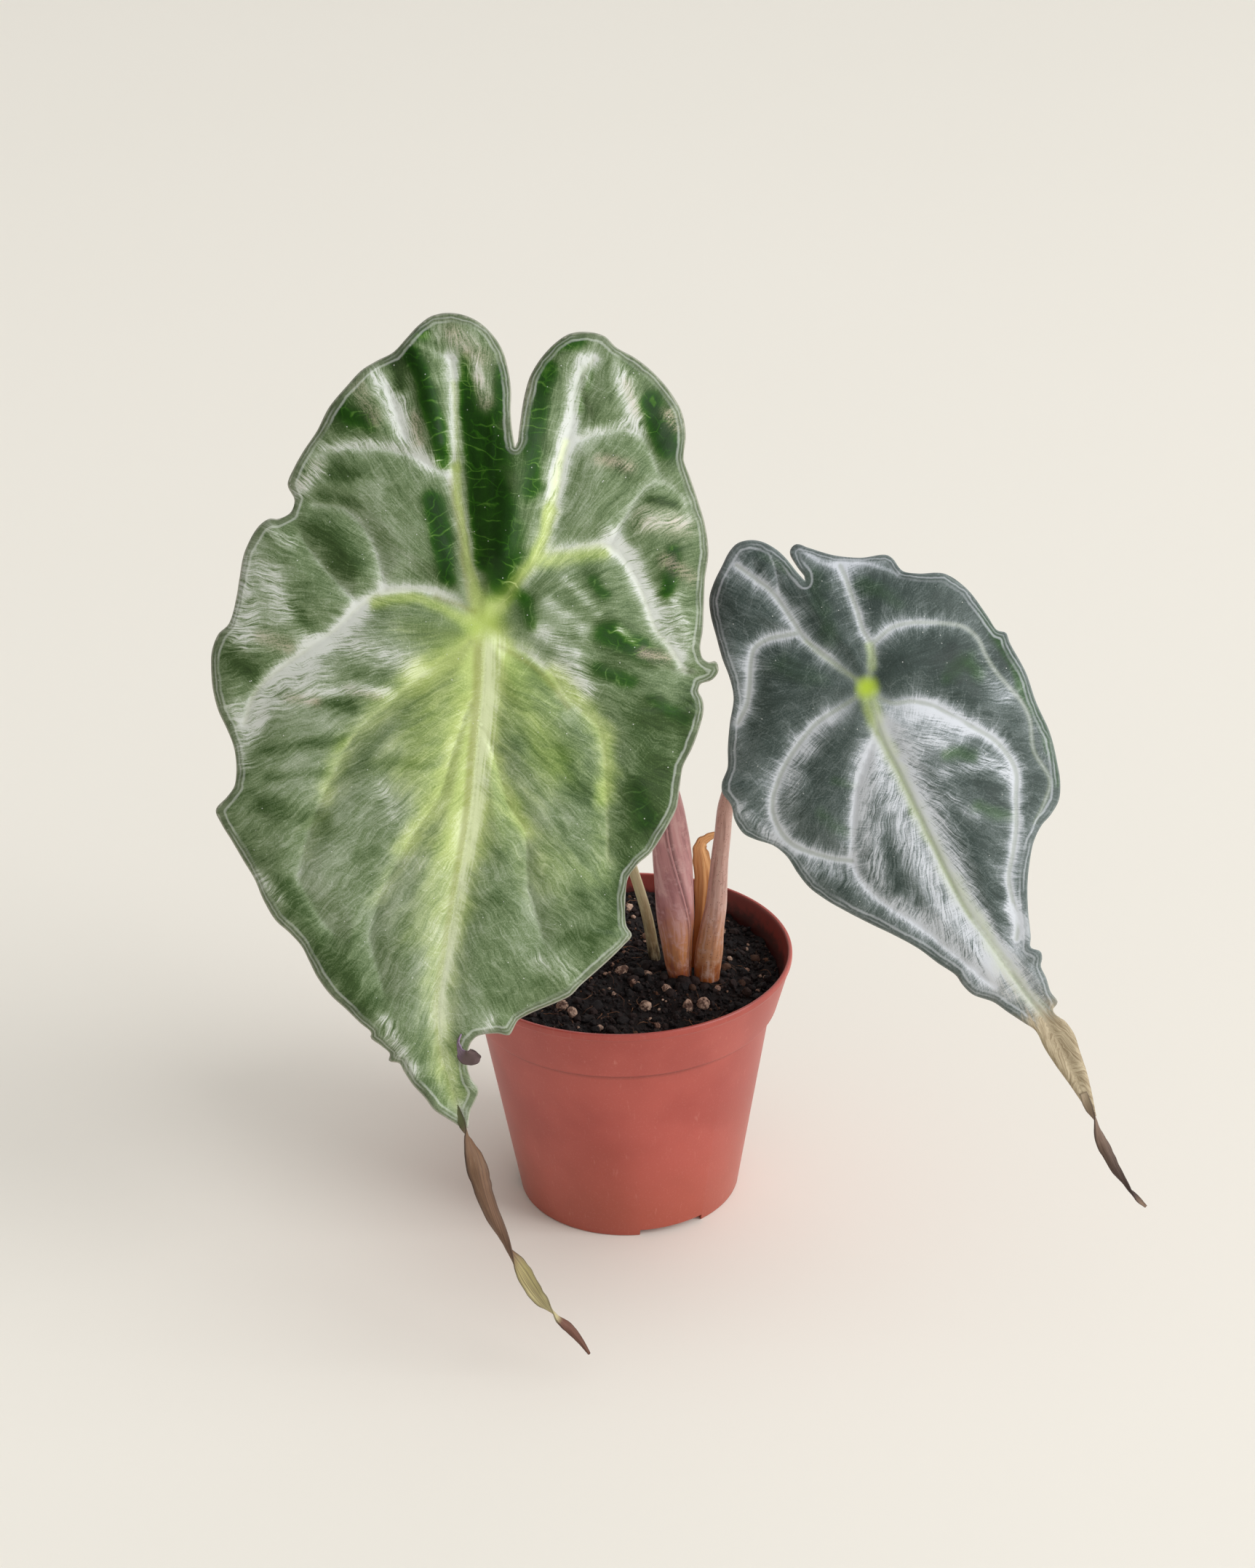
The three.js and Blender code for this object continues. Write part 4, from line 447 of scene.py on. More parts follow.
# Stalks: points on the axis from below the soil up, with the half width and depth at each point
LEFT_STALK = {
    "axis": [(19.8, -3.6, 62), (19.9, -4, 85), (19.4, -4.3, 92), (19, -4.6, 99), (18.7, -5.5, 112),
             (17.9, -9, 136), (17, -12, 151), (15.4, -15.6, 165), (9.5, -21, 187), (-3, -29, 211),
             (-21, -38, 229)],
    "size": [(3.4, 3.2), (3.9, 3.6), (4.7, 4.2), (5.4, 4.7), (6.7, 5), (6.8, 4.6), (5.8, 4.2), (4.8, 4),
             (4.1, 3.9), (3.8, 3.8), (3.7, 3.7), (3.9, 3.9), (4.4, 4.4)],
    "bend": 13,
    "flap": 0.4,
}
RIGHT_STALK = {
    "axis": [(29.2, -5, 62), (29.4, -5, 86), (30.2, -5.5, 96), (31.3, -6, 106), (32.9, -6.5, 115.6),
             (33.6, -7, 125), (34.2, -8.5, 135), (35.2, -11, 145.5), (36.6, -16, 160.3), (43, -26, 182),
             (58, -38, 202)],
    "size": [(3, 3), (4.4, 4.1), (4.8, 4.3), (4.2, 3.9), (3.7, 3.5), (3.3, 3.2), (3, 3), (2.85, 2.85),
             (2.75, 2.75), (2.6, 2.6), (2.6, 2.6), (2.8, 2.8), (3.4, 3.4)],
    "bend": 12,
    "flap": 0.0,
}
SLIM_STALK = {
    "axis": [(13, 9, 66), (11.3, 8.1, 85), (10.2, 7, 94), (8.5, 5, 106), (4.4, 2, 124.4), (-1.5, -1.4, 146),
             (-6.5, -4, 160)],
    "size": [(2, 2), (2.1, 2.1), (2, 2), (1.9, 1.9), (1.8, 1.8), (1.6, 1.6), (1.2, 1.1)],
    "flap": 0.0,
}
SHEATH = {
    "axis": [(25.6, 2, 70), (26, 2, 86), (27, 1.8, 100), (28.1, 1.6, 112), (28.7, 1.4, 122),
             (28.3, 1.3, 129), (27.6, 1.4, 133.8), (28.3, 2, 136.2), (30.3, 2.6, 137.4), (33, 3.6, 138.2),
             (36.6, 5, 136.6)],
    "size": [(1.8, 0.5), (1.9, 0.6), (2.1, 0.8), (2.6, 1.2), (3.4, 1.5), (3.4, 1.3), (2.6, 0.9), (1.9, 0.6),
             (1.6, 0.4), (1.2, 0.2), (0.7, 0.1)],
    "thickness": 0.7,
}
# Ribbons: the dry drip tips, and a curl of the left leaf's rim
RIBBONS = {
    "left_drip_tip": {
        "leaf": LEFT_LEAF,
        "path": [(-17.6, -150, -1.1), (-14.4, -157.5, -0.8), (-13.2, -161.5, 0), (-11, -168.5, 0),
                 (-9.9, -175, -0.8), (-8.8, -180.4, -2), (-6.1, -189.6, -4), (-2, -199.8, -6.5),
                 (1.4, -205.6, -8), (4.5, -210.6, -9.5), (8, -215.8, -11), (12.5, -221.3, -13),
                 (16.4, -225.6, -14), (19.6, -229.8, -15), (22.4, -234.3, -16)],
        "width": [2.4, 3, 5, 6.6, 6.6, 6, 5.2, 5.2, 5.4, 5.4, 5, 3.6, 3.2, 2.2, 0.9],
        "twist": [0, 45, 92, 145, 172, 180, 200, 270, 325, 360, 385, 450, 520, 540, 545],
        "root_edge": 0,
    },
    "left_rim_curl": {
        "leaf": LEFT_LEAF,
        "path": [(-13.6, -129, 0), (-14.6, -131.5, 0), (-14, -134.2, 0), (-12.4, -136, 0.4),
                 (-10.4, -136.2, 1), (-9.2, -135, 1.4)],
        "width": [2.4, 3.4, 4.6, 5.4, 5.6, 4.4],
        "twist": [78, 72, 58, 38, 22, 12],
        "root_edge": 0.9,
    },
    "right_drip_tip": {
        "leaf": RIGHT_LEAF,
        "path": [(4.6, -146, 0), (4.5, -151, 0), (4.4, -155.6, 0.2), (3.4, -161.5, 0), (3.1, -166.5, -0.6),
                 (3.2, -173, -1.6), (3.9, -179.6, -2.8), (5.2, -184, -3.6), (6.5, -187.2, -4.2)],
        "width": [2.6, 3, 3.4, 3.8, 3.8, 3.2, 2.2, 1.8, 0.9],
        "twist": [0, 40, 92, 150, 175, 190, 255, 330, 350],
        "root_edge": 0,
    },
}


# Curves and fields

def curve(points, shares):
    """Points of the centripetal spline through the given points, by even share of the points."""
    p = np.asarray(points, float)
    last = len(p) - 1
    place = np.asarray(shares, float) * last
    whole = np.clip(np.floor(place).astype(int), 0, last - 1)
    t = (place - whole)[:, None]
    before = np.where((whole > 0)[:, None], p[np.maximum(whole - 1, 0)], 2 * p[0] - p[1])
    after = np.where((whole + 2 <= last)[:, None], p[np.minimum(whole + 2, last)], 2 * p[-1] - p[-2])
    a, b = p[whole], p[whole + 1]
    spans = ((before, a), (a, b), (b, after))
    d0, d1, d2 = (np.sqrt(np.linalg.norm(y - x, axis=1))[:, None] for x, y in spans)
    d1 = np.where(d1 < 1e-4, 1.0, d1)
    d0 = np.where(d0 < 1e-4, d1, d0)
    d2 = np.where(d2 < 1e-4, d1, d2)
    m1 = ((a - before) / d0 - (b - before) / (d0 + d1) + (b - a) / d1) * d1
    m2 = ((b - a) / d1 - (after - a) / (d1 + d2) + (after - b) / d2) * d1
    return a + m1 * t + (-3 * a + 3 * b - 2 * m1 - m2) * t**2 + (2 * a - 2 * b + m1 + m2) * t**3


def unit(v):
    v = np.asarray(v, float)
    return v / np.linalg.norm(v, axis=-1, keepdims=True)


def tangents(points):
    return unit(np.gradient(points, axis=0))


def run_along(points):
    """Length along a line up to each of its points."""
    return np.concatenate([[0], np.cumsum(np.linalg.norm(np.diff(points, axis=0), axis=1))])


def dense(points, step):
    """The spline through the points as a line with about that step, evenly spaced."""
    rough = curve(points, np.linspace(0, 1, 12 * len(points)))
    run = run_along(rough)
    marks = np.linspace(0, run[-1], max(2, round(run[-1] / step) + 1))
    return np.stack([np.interp(marks, run, rough[:, k]) for k in range(rough.shape[1])], 1)


def nearest(line, spots):
    """For each spot: its signed distance to a line, and how far along the line that is."""
    a, b = line[:-1], line[1:]
    step = b - a
    size = np.linalg.norm(step, axis=1)
    run = np.concatenate([[0], np.cumsum(size)])
    best = np.full(len(spots), 1e9)
    along = np.zeros(len(spots))
    for k in range(len(a)):
        rel = spots - a[k]
        share = np.clip(rel @ step[k] / size[k] ** 2, 0, 1)
        off = rel - share[:, None] * step[k]
        distance = np.hypot(off[:, 0], off[:, 1])
        side = np.where(step[k][0] * rel[:, 1] - step[k][1] * rel[:, 0] < 0, -1, 1)
        closer = distance < np.abs(best)
        best = np.where(closer, distance * side, best)
        along = np.where(closer, run[k] + share * size[k], along)
    return best, along


def lattice(ix, iy, seed):
    """A fixed value from 0 to 1 for each whole place."""
    wave = np.sin(ix * 127.1 + iy * 311.7 + seed * 74.7) * 43758.5453
    return wave - np.floor(wave)


def ripple(x, y, seed=0):
    """Smooth noise from -1 to 1, with features about one unit across."""
    x = np.asarray(x, float)
    y = np.asarray(y, float)
    ix, iy = np.floor(x), np.floor(y)
    fx, fy = x - ix, y - iy
    fx = fx * fx * (3 - 2 * fx)
    fy = fy * fy * (3 - 2 * fy)
    low = lattice(ix, iy, seed) * (1 - fx) + lattice(ix + 1, iy, seed) * fx
    high = lattice(ix, iy + 1, seed) * (1 - fx) + lattice(ix + 1, iy + 1, seed) * fx
    return 2 * (low * (1 - fy) + high * fy) - 1


def layered(x, y, seed, layers=3):
    """Ripples over ripples, each layer half the size of the last."""
    return sum(ripple(x * 2**k, y * 2**k, seed + k) / 2**k for k in range(layers)) / 1.6


def smooth(x, low, high):
    """0 at low, 1 at high and a smooth step between."""
    t = np.clip((x - low) / (high - low), 0, 1)
    return t * t * (3 - 2 * t)


# Meshes

def mesh_object(name, points, faces, materials, kinds=None, fields=None, flat=False):
    """A piece from points in millimetres. kinds gives each face its material, fields its attributes."""
    mesh = bpy.data.meshes.new(name)
    mesh.from_pydata((np.asarray(points, float) * MM).tolist(), [], [list(map(int, f)) for f in faces])
    for material in materials:
        mesh.materials.append(material)
    if kinds is not None:
        mesh.polygons.foreach_set("material_index", np.asarray(kinds, np.int32))
    if not flat:
        mesh.polygons.foreach_set("use_smooth", np.ones(len(mesh.polygons), bool))
    for key, values in (fields or {}).items():
        attribute = mesh.attributes.new(key, "FLOAT", "POINT")
        attribute.data.foreach_set("value", np.asarray(values, np.float32))
    mesh.update()
    piece = bpy.data.objects.new(name, mesh)
    bpy.context.scene.collection.objects.link(piece)
    return piece


def dress(piece, slot, *nodes):
    """The piece rides on the plant and stands for those nodes; slot is not used."""
    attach(piece, "root")
    if nodes:
        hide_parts(*nodes)
    return piece


def loft(rings):
    """Points and faces of a solid through closed rings, each counter-clockwise seen from ahead."""
    rings = np.asarray(rings, float)
    steps, count = rings.shape[:2]
    points = np.concatenate([rings.reshape(-1, 3), rings[0].mean(0)[None], rings[-1].mean(0)[None]])
    faces = []
    for k in range(1, steps):
        for i in range(count):
            j = (i + 1) % count
            faces.append(((k - 1) * count + i, (k - 1) * count + j, k * count + j, k * count + i))
    first, last = steps * count, steps * count + 1
    top = (steps - 1) * count
    for i in range(count):
        j = (i + 1) % count
        faces.append((first, j, i))
        faces.append((last, top + i, top + j))
    return points, faces


# Materials: a small kit for procedural node trees

def rgb(colour):
    """A colour read off as the linear value that a shader takes."""
    shares = (c / 255 for c in colour)
    return (*(c / 12.92 if c <= 0.04045 else ((c + 0.055) / 1.055) ** 2.4 for c in shares), 1.0)


class Signal:
    """An output of a shader node. Arithmetic on it adds maths nodes to its tree."""

    def __init__(self, paint, socket):
        self.paint = paint
        self.socket = socket

    def __add__(self, other):
        return self.paint.math("ADD", self, other)

    def __sub__(self, other):
        return self.paint.math("SUBTRACT", self, other)

    def __mul__(self, other):
        return self.paint.math("MULTIPLY", self, other)

    def __truediv__(self, other):
        return self.paint.math("DIVIDE", self, other)

    def __abs__(self):
        return self.paint.math("ABSOLUTE", self)


class Paint:
    """The node tree of a material or of the world. Most methods add a node and give back its output."""

    def __init__(self, owner):
        owner.use_nodes = True
        self.owner = owner
        self.tree = owner.node_tree
        self.tree.nodes.clear()
        self.known = {}

    def add(self, kind, inputs, output=0, **settings):
        """A node of that kind, with each input linked or set and one of its outputs given back."""
        node = self.tree.nodes.new("ShaderNode" + kind)
        for key, value in settings.items():
            setattr(node, key, value)
        for key, value in inputs.items():
            if isinstance(value, Signal):
                self.tree.links.new(value.socket, node.inputs[key])
            elif value is not None:
                node.inputs[key].default_value = value
        return Signal(self, node.outputs[output])

    def __getitem__(self, name):
        """The mesh's field of that name."""
        if name not in self.known:
            self.known[name] = self.add("Attribute", {}, "Fac", attribute_name=name)
        return self.known[name]

    def math(self, operation, a, b=None):
        return self.add("Math", {0: a, 1: b}, operation=operation)

    def larger(self, a, b):
        return self.math("MAXIMUM", a, b)

    def band(self, value, low, high, start=0.0, end=1.0):
        """Start where the value is at low, end where it is at high, and a smooth step between."""
        return self.add("MapRange", {0: value, 1: low, 2: high, 3: start, 4: end},
                        interpolation_type="SMOOTHSTEP")

    def mix(self, share, a, b):
        """From colour a at 0 to colour b at 1. Three numbers are a colour read off."""
        a, b = (rgb(c) if isinstance(c, tuple) and len(c) == 3 else c for c in (a, b))
        return self.add("Mix", {0: share, 6: a, 7: b}, 2, data_type="RGBA")

    def ramp(self, value, colours):
        """Evenly spaced colours over the value, from 0 to 1."""
        node = self.tree.nodes.new("ShaderNodeValToRGB")
        self.tree.links.new(value.socket, node.inputs[0])
        stops = node.color_ramp.elements
        stops[0].position, stops[-1].position = 0.0, 1.0
        stops[0].color, stops[-1].color = rgb(colours[0]), rgb(colours[-1])
        for k in range(1, len(colours) - 1):
            stops.new(k / (len(colours) - 1)).color = rgb(colours[k])
        return Signal(self, node.outputs[0])

    def place(self, x, y, z=0.0, scale=(1, 1, 1)):
        """A place from three values, stretched by a scale for each."""
        return self.vector("MULTIPLY", self.add("CombineXYZ", {0: x, 1: y, 2: z}), scale)

    def vector(self, operation, a, b):
        return self.add("VectorMath", {0: a, 1: b}, operation=operation)

    def body(self):
        """Place on the object, in metres."""
        if "body" not in self.known:
            self.known["body"] = self.add("TexCoord", {}, "Object")
        return self.known["body"]

    def noise(self, at, scale=1.0, detail=2.0, rough=0.5, twist=0.0):
        return self.add("TexNoise", {"Vector": at, "Scale": scale, "Detail": detail, "Roughness": rough,
                                     "Distortion": twist})

    def streaks(self, x, y, seed, stretch, detail=3, rough=0.6, twist=0.0):
        """Noise over two values, with a scale for each."""
        return self.noise(self.place(x, y, seed, (*stretch, 1)), 1, detail, rough, twist)

    def cells(self, at, scale=1.0, feature="DISTANCE_TO_EDGE"):
        return self.add("TexVoronoi", {"Vector": at, "Scale": scale}, "Distance", feature=feature)

    def bump(self, height, distance, strength):
        return self.add("Bump", {"Height": height, "Distance": distance * MM, "Strength": strength})

    def close(self, kind, shader):
        """Leads the shader to the tree's output."""
        target = self.tree.nodes.new("ShaderNodeOutput" + kind)
        self.tree.links.new(shader.socket, target.inputs[0])
        return self.owner

    def finish(self, colour, roughness, specular, normal=None, **more):
        """The finished material. More inputs of the shader are given by their names."""
        values = {"Base Color": colour, "Roughness": roughness, "Specular IOR Level": specular,
                  "Normal": normal}
        values.update((key.replace("_", " ").title(), value) for key, value in more.items())
        return self.close("Material", self.add("BsdfPrincipled", values))


def paint(name):
    """A new material to paint."""
    return Paint(bpy.data.materials.new(name))


# Leaf blades

def leaf_frame(leaf):
    """Where the leaf's plane is: its origin and its across, up and outward directions."""
    turn, lift, spin = leaf["turn"] * DEGREE, leaf["lift"] * DEGREE, leaf["spin"] * DEGREE
    out = np.array([math.sin(turn) * math.cos(lift), -math.cos(turn) * math.cos(lift), math.sin(lift)])
    level = np.array([math.cos(turn), math.sin(turn), 0])
    across = level * math.cos(spin) + np.cross(out, level) * math.sin(spin)
    return np.array(leaf["junction"], float), across, np.cross(out, across), out


def in_space(leaf, u, v, w):
    """Points of the leaf's drawing in space, kept on the camera's sight lines whatever their height."""
    origin, across, along, out = leaf_frame(leaf)
    nearer = 1 - w / SIGHT_DISTANCE
    return (origin + np.multiply.outer(u * nearer, across) + np.multiply.outer(v * nearer, along)
            + np.multiply.outer(w, out))


def midrib_at(leaf, v):
    """The midrib's place across the leaf at that height."""
    line = np.array(leaf["main_veins"][0][0], float)[::-1]
    return np.interp(v, line[:, 1], line[:, 0])


def face_height(leaf, spots, edge, turns):
    """Height of the face over the flat drawing: sunken veins, puffed panels, arch and ruffled rim."""
    u, v = spots[:, 0], spots[:, 1]
    side = u - midrib_at(leaf, v)
    arch = np.where(side < 0, leaf["arch_left"], leaf["arch_right"])
    fall = np.where(v > 0, leaf["arch_top"], leaf["arch_tip"])

    def closest(veins):
        return np.min([np.abs(nearest(np.array(line, float), spots)[0]) for line, _, _ in veins], axis=0)

    main, lesser = closest(leaf["main_veins"]), closest(leaf["side_veins"])
    depth = np.minimum(main, lesser + leaf["side_vein_rise"]) / leaf["puff_reach"]
    height = leaf["puff"] * (1 - np.exp(-depth**2)) * (1 - edge**8) - arch * side**2 - fall * v**2
    for line, rise, reach in leaf["crests"]:
        height += rise * np.exp(-(nearest(np.array(line, float), spots)[0] / reach) ** 2)
    for waves, swing, start in leaf["ruffle"]:
        height += swing * edge**5 * np.sin(2 * math.pi * waves * turns + start)
    return height


def rim_marks(leaf):
    """The whole rim, from the notch down the left side and back up the right, with turns at each point."""
    left, right = np.array(leaf["left_rim"], float), np.array(leaf["right_rim"], float)
    down, up = np.arange(len(left)) + 0.5, np.arange(len(right)) + 0.5
    return np.concatenate([left, right[::-1]]), np.concatenate([down, -up[::-1]]) / (len(left) + len(right))


def flow_lines(leaf):
    """Roots on the midrib and ends on the rim of the lines that the leaf's grain follows."""
    spine = dense(leaf["spine"], 0.5)
    lines = []
    for key in ("left", "right"):
        rim = np.array(leaf[key + "_rim"], float)
        step = np.linalg.norm(np.diff(rim, axis=0), axis=1)
        step[:leaf[key + "_shoulder"]] = 0
        share = np.concatenate([[0], np.cumsum(step)]) / step.sum()
        roots = spine[np.round(share**2.2 * (len(spine) - 1)).astype(int)]
        lines.append((roots, rim))
    return lines


def flow_at(leaf, spots):
    """Place across and along the grain, in millimetres."""
    middle = midrib_at(leaf, spots[:, 1])
    leftward = spots[:, 0] < middle + 6 * smooth(spots[:, 1], 0, 60)
    across, along = np.zeros(len(spots)), np.zeros(len(spots))
    for is_left, (roots, ends) in zip((True, False), flow_lines(leaf)):
        chosen = leftward == is_left
        p = spots[chosen]
        run = run_along(ends)
        ray = unit(ends - roots)
        rel = p[:, None, :] - roots[None]
        off = ray[None, :, 0] * rel[:, :, 1] - ray[None, :, 1] * rel[:, :, 0]
        ahead = (rel * ray[None]).sum(2)
        cost = np.abs(off) + 4 * np.maximum(0, -ahead)
        pair = cost[:, :-1] + cost[:, 1:] + 50 * (off[:, :-1] * off[:, 1:] > 0)
        k = pair.argmin(1)
        rows = np.arange(len(p))
        share = cost[rows, k] / np.maximum(cost[rows, k] + cost[rows, k + 1], 1e-6)
        across[chosen] = run[k] + share * (run[k + 1] - run[k]) + (0 if is_left else 900)
        along[chosen] = ahead[rows, k] * (1 - share) + ahead[rows, k + 1] * share
    return across, along


def zone_field(leaf, key, spots):
    """A soft patchwork of strokes with uneven borders, 0 to 1."""
    clear = np.ones(len(spots))
    u, v = spots.T / 7
    shift = np.stack([layered(u, v, 61), layered(u, v, 83)], 1)
    for line, width, strength in leaf["zones"][key]:
        loose = spots + shift * min(0.45 * width, 2.5)
        clear *= 1 - strength * np.exp(-((nearest(dense(line, 3), loose)[0] / width) ** 2))
    return 1 - clear


def vein_fields(veins, spots):
    """Distance to the nearest vein, place along it, its half width there, and how much nearer it is."""
    best, along, width = np.full(len(spots), 1e9), np.zeros(len(spots)), np.ones(len(spots))
    second = best
    for k, (line, start, end) in enumerate(veins):
        drawn = dense(line, VEIN_STEP)
        gap, run = nearest(drawn, spots)
        gap = np.abs(gap)
        closer = gap < best
        second = np.minimum(second, np.where(closer, best, gap))
        best = np.where(closer, gap, best)
        along = np.where(closer, run + VEIN_SPACING * k, along)
        width = np.where(closer, start + (end - start) * run / run_along(drawn)[-1], width)
    return best, along, width, second - best


def sheet_points(leaf):
    """The blade's flat mesh: an even grid inside a smooth rim, with points along every vein."""
    corners, _ = rim_marks(leaf)
    left = len(leaf["left_rim"])
    rim = np.concatenate([dense(corners[:left], RIM_STEP), dense(corners[left:], RIM_STEP)])
    veins = leaf["main_veins"] + leaf["side_veins"]
    veins = np.concatenate([dense(line, SHEET_STEP) for line, _, _ in veins])
    clear = 0.55 * SHEET_STEP
    low, high = rim.min(0), rim.max(0)
    rows = np.arange(low[1], high[1], SHEET_STEP * math.sqrt(0.75))
    columns = np.arange(low[0], high[0], SHEET_STEP)
    grid = np.array([(x + (j % 2) * SHEET_STEP / 2, y) for j, y in enumerate(rows) for x in columns])
    grid = grid[inside(rim, grid) & (rim_distance(rim, grid) > clear)]
    grid = grid[nearest_point(veins, grid) > clear]
    veins = veins[inside(rim, veins) & (rim_distance(rim, veins) > clear)]
    spots = [Vector(p) for p in np.concatenate([rim, veins, grid])]
    edges = [(i, (i + 1) % len(rim)) for i in range(len(rim))]
    flat, _, faces, *_ = geometry.delaunay_2d_cdt(spots, edges, [], 0, 1e-4, False)
    flat, faces = np.array([tuple(p) for p in flat]), np.array(faces)
    return flat, faces[inside(rim, flat[faces].mean(1))]


def inside(loop, spots):
    """True for the spots that lie inside a closed outline."""
    odd = np.zeros(len(spots), bool)
    x, y = spots[:, 0], spots[:, 1]
    for (ax, ay), (bx, by) in zip(loop, np.roll(loop, -1, axis=0)):
        if ay != by:
            odd ^= ((ay > y) != (by > y)) & (x < (bx - ax) * (y - ay) / (by - ay) + ax)
    return odd


def rim_distance(loop, spots):
    return np.abs(nearest(np.concatenate([loop, loop[:1]]), spots)[0])


def nearest_point(others, spots):
    """For each spot: the distance to the nearest of the others, taken in groups to save memory."""
    best = np.full(len(spots), 1e9)
    for k in range(0, len(others), 200):
        some = others[k:k + 200]
        gaps = np.hypot(spots[:, None, 0] - some[None, :, 0], spots[:, None, 1] - some[None, :, 1])
        best = np.minimum(best, gaps.min(1))
    return best


def face_normals(points, faces):
    """At each point the mean direction of its faces."""
    cross = np.cross(points[faces[:, 1]] - points[faces[:, 0]], points[faces[:, 2]] - points[faces[:, 0]])
    total = np.zeros_like(points)
    for k in range(3):
        for axis in range(3):
            total[:, axis] += np.bincount(faces[:, k], cross[:, axis], len(points))
    return unit(total)


def rest_height(leaf):
    """Height of the face at the junction, which the stalk carries."""
    return face_height(leaf, np.zeros((1, 2)), np.zeros(1), np.zeros(1))


def rim_place(leaf, spots):
    """Distance to the rim, turns along it, and how near to it each spot lies: 0 on the midrib to 1."""
    corners, corner_turns = rim_marks(leaf)
    loop = np.concatenate([corners, corners[:1]])
    gap, run = nearest(loop, spots)
    gap = np.abs(gap)
    turns = np.interp(run, run_along(loop)[:-1], np.where(corner_turns < 0, corner_turns + 1, corner_turns))
    spine_gap = np.abs(nearest(dense(leaf["spine"], 1.0), spots)[0])
    reach = spine_gap / np.maximum(spine_gap + gap, 1e-6)
    return gap, turns, ((np.sqrt(0.09 + 2.8 * reach) - 0.3) / 1.4) ** 2


def blade_fields(leaf, spots, rim_gap):
    """What the face's fine form and its materials have to know at each spot."""
    across, along = flow_at(leaf, spots)
    vein_gap, vein_run, vein_width, vein_split = vein_fields(leaf["main_veins"], spots)
    twig_gap, twig_run, twig_width, _ = vein_fields(leaf["side_veins"], spots)
    fields = {
        "leaf_u": spots[:, 0], "leaf_v": spots[:, 1], "across": across, "along": along,
        "rim_gap": rim_gap, "hub": np.hypot(spots[:, 0], spots[:, 1]),
        "vein_gap": vein_gap, "vein_run": vein_run, "vein_width": vein_width, "vein_split": vein_split,
        "twig_gap": twig_gap, "twig_run": twig_run, "twig_width": twig_width,
        "midrib": nearest(dense(leaf["main_veins"][0][0], VEIN_STEP), spots)[0],
    }
    for key in leaf["zones"]:
        fields[key] = zone_field(leaf, key, spots)
    return fields


def fine_relief(leaf, f):
    """Quilting of the panels, less the grooves over the veins and inside the rim."""
    main, twig, rim = f["vein_gap"], f["twig_gap"], f["rim_gap"]
    quilt = layered(f["across"] / 9, f["along"] / 15, 3) * 0.5 * smooth(main, 0.5, 6)
    quilt += layered(f["leaf_u"] / 3.2, f["leaf_v"] / 3.2, 8) * 0.10
    groove = 0.45 * np.exp(-((main / 0.9) ** 2)) + 0.25 * np.exp(-((twig / 0.7) ** 2))
    groove += 0.18 * np.exp(-(((rim - leaf["margin_vein"]) / 0.5) ** 2))
    return (quilt - groove) * smooth(f["hub"], 3, 16) * smooth(rim, 0, 1.2)


def back_ribs(f):
    """Height of the ribs that the veins raise on the back."""
    rib = 0.9 * np.exp(-((f["vein_gap"] / 1.5) ** 2)) * np.clip(f["vein_width"] / 2.4, 0.3, 1.3)
    rib += 0.4 * np.exp(-((f["twig_gap"] / 0.9) ** 2)) * np.clip(f["twig_width"], 0.3, 1)
    return rib * smooth(f["hub"], 3.5, 9) * smooth(f["rim_gap"], 0, 3)


def blade(leaf, materials):
    """A leaf's blade from three materials: its face, its back and the edge between them."""
    spots, faces = sheet_points(leaf)
    turned = np.cross(spots[faces[:, 1]] - spots[faces[:, 0]], spots[faces[:, 2]] - spots[faces[:, 0]]) < 0
    faces[turned] = faces[turned][:, ::-1]
    rim_gap, turns, edge = rim_place(leaf, spots)
    fields = blade_fields(leaf, spots, rim_gap)
    height = face_height(leaf, spots, edge, turns) - rest_height(leaf) + fine_relief(leaf, fields)
    middle = in_space(leaf, spots[:, 0], spots[:, 1], height)
    normals = face_normals(middle, faces)
    half = BLADE_THICKNESS / 2 * (0.45 + 0.55 * smooth(rim_gap, 0, 2.5))[:, None]
    front, back = middle + normals * half, middle - normals * (half + back_ribs(fields)[:, None])
    count = len(spots)
    sides = rim_wall(faces, count)
    all_faces = [*faces.tolist(), *(faces[:, ::-1] + count).tolist(), *sides]
    kinds = [0] * len(faces) + [1] * len(faces) + [2] * len(sides)
    fields = {key: np.tile(values, 2) for key, values in fields.items()}
    name = "leaf_" + leaf["name"] + "_blade_skin"
    return mesh_object(name, np.concatenate([front, back]), all_faces, materials, kinds, fields)


def rim_wall(faces, count):
    """Faces that close the sheet's edge between its front points and its back points."""
    seen = dict.fromkeys((face[k], face[(k + 1) % 3]) for face in faces.tolist() for k in range(3))
    wall = []
    for a, b in seen:
        if (b, a) not in seen:
            wall.append((b, a, a + count))
            wall.append((b, a + count, b + count))
    return wall


